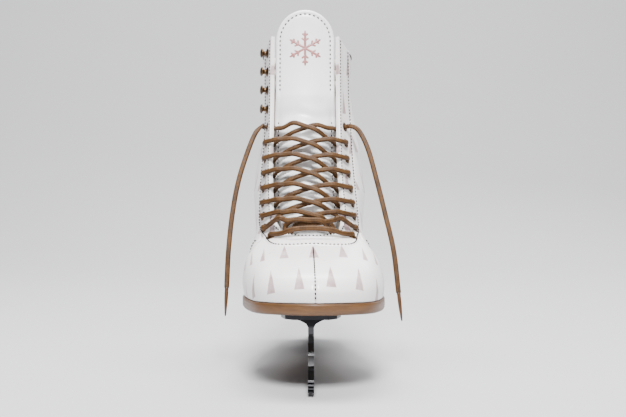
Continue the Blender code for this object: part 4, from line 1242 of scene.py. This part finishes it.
def oval_tube(name, line, lengths, replaced, facing=None):
    """A slightly flat cord: its flat side faces outwards, or one way, and turns smoothly."""
    along = unit(np.gradient(line, axis=0))
    if facing is None:
        inside = np.stack([np.full(len(line), -3.0), line[:, 1] * 0.4 + 22.0, line[:, 2] - 14.0], axis=1)
        target = unit(line - inside)
    else:
        target = np.tile(np.array(facing, float), (len(line), 1))
    ups, up = [], target[0]
    for way, aim in zip(along, target):
        up = up - way * (up @ way)
        flat = aim - way * (aim @ way)
        up = up / np.linalg.norm(up) + 0.25 * flat * (1 if flat @ up >= 0 else -1)
        up = up / np.linalg.norm(up)
        ups.append(up)
    ups = np.array(ups)
    across = np.cross(along, ups)
    angles = steps(0, 2 * math.pi, LACE_SIDES + 1)
    ring = (line[:, None, :] + across[:, None, :] * (np.cos(angles) * LACE_WIDE / 2)[None, :, None]
            + ups[:, None, :] * (np.sign(np.sin(angles)) * np.abs(np.sin(angles)) ** 0.8
                                 * LACE_THICK / 2)[None, :, None])
    uvs = np.stack([np.repeat(lengths, LACE_SIDES + 1), np.tile(angles / (2 * math.pi), len(line))], axis=1)
    faces = loft_faces(len(line), LACE_SIDES + 1, wraps=False)
    return add_mesh(name, ring.reshape(-1, 3), faces, LACE_LOOK, uvs, slot="brown_lace",
                    replaced=(replaced,))


# Free ends of the lace: sideways from the blade's plane, distance behind the toe, height.
LEFT_END = ((-39.5, 146, 190), (-45, 141, 183), (-51.5, 134, 165), (-57.5, 127, 143), (-61.5, 121, 118),
            (-64, 116, 90), (-65, 112, 62))
RIGHT_END = ((31, 146, 190), (38, 141, 186), (45, 133, 171), (51.5, 126, 146), (58, 120, 118),
             (64, 115, 90), (67.5, 112, 58))
TIP = ((0, 0), (0, 1.3), (0.5, 1.5), (1.6, 1.52), (2.0, 1.4), (2.4, 1.5), (8, 1.45), (14, 1.15),
       (19.5, 0.75), (21.3, 0.55), (21.9, 0.28), (22, 0))


def build_laces():
    left, end_left = lace_route(-1)
    right, _ = lace_route(1)
    line, lengths = smooth_route(left[::-1] + right[1:], 1.1)
    oval_tube("held_lace", line, lengths, "lace")
    exits = {end_left: left[-1], -end_left: right[-1]}
    for (side, word), route in zip(SIDES, (LEFT_END, RIGHT_END)):
        top = on_side(side, place_of(*EYELETS[-1]))
        direction = outward(top, EYELETS[-1][1])[0]
        path = [exits[side] + direction * 0.3, exits[side] + direction * 2.5]
        path += [np.array([x, TOE_Y + behind, height]) for x, behind, height in route]
        line, lengths = smooth_route(path, 1.2)
        cord = oval_tube(f"free_lace_{word}", line, lengths, f"lace_end_{word}", facing=(0, -1, 0.1))
        heading = line[-1] - line[-2]
        heading = heading / np.linalg.norm(heading)
        tip = add_mesh(f"lace_tip_{word}", *ring_solid(TIP, line[-1] - 0.2 * heading, heading, 20),
                       TIP_LOOK, slot="lace_tip", replaced=(f"aglet_{word}",))
        [tuple(point * MM) for point in line]


# ---------------------------------------------------------------- sole
WELT = 1.0                  # sole edge beyond the upper


def sole_top(behind):
    return table(SOLE_TOP, behind)


def sole_under(behind):
    return sole_top(behind) - table(SOLE_THICK, behind)


def outline_row(place, rise):
    """Left and right points of the sole's outline at a place, moved out by a rise."""
    height = feather(place)
    here, other = surface(place, height)[0], surface(on_side(-1, place), height)[0]
    along = (surface(place + 0.05, height)[0] - surface(place - 0.05, height)[0])[:2]
    normal = np.array([along[1], -along[0]]) / np.linalg.norm(along)
    return other[:2] + normal * np.array([-1, 1]) * rise, here[:2] + normal * rise


def end_places(first, last, count):
    """Places along the outline, closer together round the toe and the heel."""
    parts = steps(0, 1, count)
    return first + (last - first) * (parts - 0.7 * np.sin(2 * math.pi * parts) / (2 * math.pi))


def plate(name, places, profile, top, bottom, look, slot, replaced, inner=()):
    """A slab with the sole's outline; the profile is (rise, share of the way down) at its edge.

    inner holds (share of the half width, lift) points that shape the upper face between the edges."""
    points = []
    for place in places:
        place = float(place)
        edges = [outline_row(place, rise) for rise, _ in profile]
        left_edge, right_edge = edges[0]
        middle = (left_edge + right_edge) / 2

        def at(spot, down, lift=0.0):
            behind = spot[1] - TOE_Y
            high, low = top(behind), bottom(behind)
            return (spot[0], spot[1], high + (low - high) * down + lift)
        row = [at(right, down) for (_, right), (_, down) in zip(edges, profile)]
        row += [at(left, down) for (left, _), (_, down) in reversed(list(zip(edges, profile)))]
        for edge, order in ((left_edge, 1), (right_edge, -1)):
            row += [at(middle + (edge - middle) * share, profile[0][1], lift)
                    for share, lift in inner[::order]]
        points += row
    faces = loft_faces(len(places), len(row), caps=places[0] > 0)
    return add_mesh(name, np.array(points), faces, look, slot=slot, sharp=60, replaced=(replaced,))


# Edge profiles: (distance out from the outline, share of the way down) pairs.
SOLE_EDGE = ((WELT - 1.6, 0.0), (WELT - 0.35, 0.02), (WELT, 0.09), (WELT + 0.1, 0.3), (WELT + 0.1, 0.66),
             (WELT, 0.84), (WELT - 0.4, 0.96), (WELT - 1.4, 1.0))
BED_EDGE = ((-10.2, 0.05), (-9.6, 0.25), (-9.5, 0.6), (-9.7, 1.0))
BED_INNER = ((0.92, -0.1), (0.75, -0.5), (0.45, -0.9), (0.15, -1.0))
BED_LOW, BED_HIGH = 3.7, 7.2    # the footbed's faces above the sole's upper face


def build_sole():
    plate("sole_edge", end_places(0.0, HALF_TURN, 110), SOLE_EDGE, sole_top, sole_under,
          SOLE_LOOK, "sole_leather", "outsole")
    bed = plate("cushioned_footbed", end_places(0.4, HALF_TURN - 0.4, 70), BED_EDGE,
                lambda behind: sole_top(behind) + BED_HIGH, lambda behind: sole_top(behind) + BED_LOW,
                CLOTH_LOOK, "padding", "footbed", BED_INNER)


def paint(item, look):
    """Gives a carried-over CAD node this material in every slot."""
    if not item.material_slots:
        item.data.materials.append(look)
    for each in item.material_slots:
        each.material = look


build_metalwork()
build_laces()
build_sole()
for node_names, look in (
        (("blade_runner", "front_stanchion", "rear_stanchion"), STEEL_LOOK),
        (("sole_plate", "heel_plate"), DARK_LOOK),
        ([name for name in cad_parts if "_screw_" in name], SCREW_LOOK),
        (("heel_block",), HEEL_LOOK),
        (("heel_cap",), rubber()),
        (("heel_counter", "toe_puff", "insole_board"), fibreboard())):
    for node_name in node_names:
        paint(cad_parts[node_name], look)


# ---------------------------------------------------------------- stage
def build_stage():
    """A pale floor that curves up into a backdrop behind the skate."""
    wide, front, bend_at, radius, high = 7.0, -5.0, 0.9, 2.4, 5.0
    profile = [(front, 0.0), (bend_at, 0.0)]
    profile += [(bend_at + radius * math.sin(angle), radius * (1 - math.cos(angle)))
                for angle in np.radians(steps(0, 90, 20)[1:])]
    profile.append((bend_at + radius, high))
    points = [(x / MM, y / MM, z / MM) for x in (-wide, wide) for y, z in profile]
    count = len(profile)
    faces = [[index, index + 1, count + index + 1, count + index] for index in range(count - 1)]
    add_mesh("studio_floor", points, faces, paper(), body=None)


def area_light(name, place, size, watts, aim=(0, 0, 0.15)):
    data = bpy.data.lights.new(name, "AREA")
    data.shape = "RECTANGLE"
    data.size, data.size_y = size
    data.energy = watts
    light = bpy.data.objects.new(name, data)
    bpy.context.collection.objects.link(light)
    light.location = place
    light.rotation_euler = (Vector(aim) - Vector(place)).to_track_quat("-Z", "Y").to_euler()


def build_lights():
    world = bpy.data.worlds.new("world")
    bpy.context.scene.world = world
    world.use_nodes = True
    background = world.node_tree.nodes["Background"]
    background.inputs["Color"].default_value = (0.92, 0.94, 1.0, 1.0)
    background.inputs["Strength"].default_value = 0.12
    area_light("key", (0.0, -1.05, 1.25), (0.4, 0.4), 62)
    area_light("fill", (1.5, -1.2, 0.9), (0.8, 0.8), 6)
    area_light("top", (0.0, 0.1, 1.6), (0.6, 0.6), 26)
    area_light("rim", (0.4, 1.3, 1.1), (1.2, 0.8), 12)
    area_light("backdrop", (0.0, 0.5, 3.2), (4.0, 1.0), 250, (0.0, 3.2, 0.8))


build_stage()
build_lights()
build_camera()
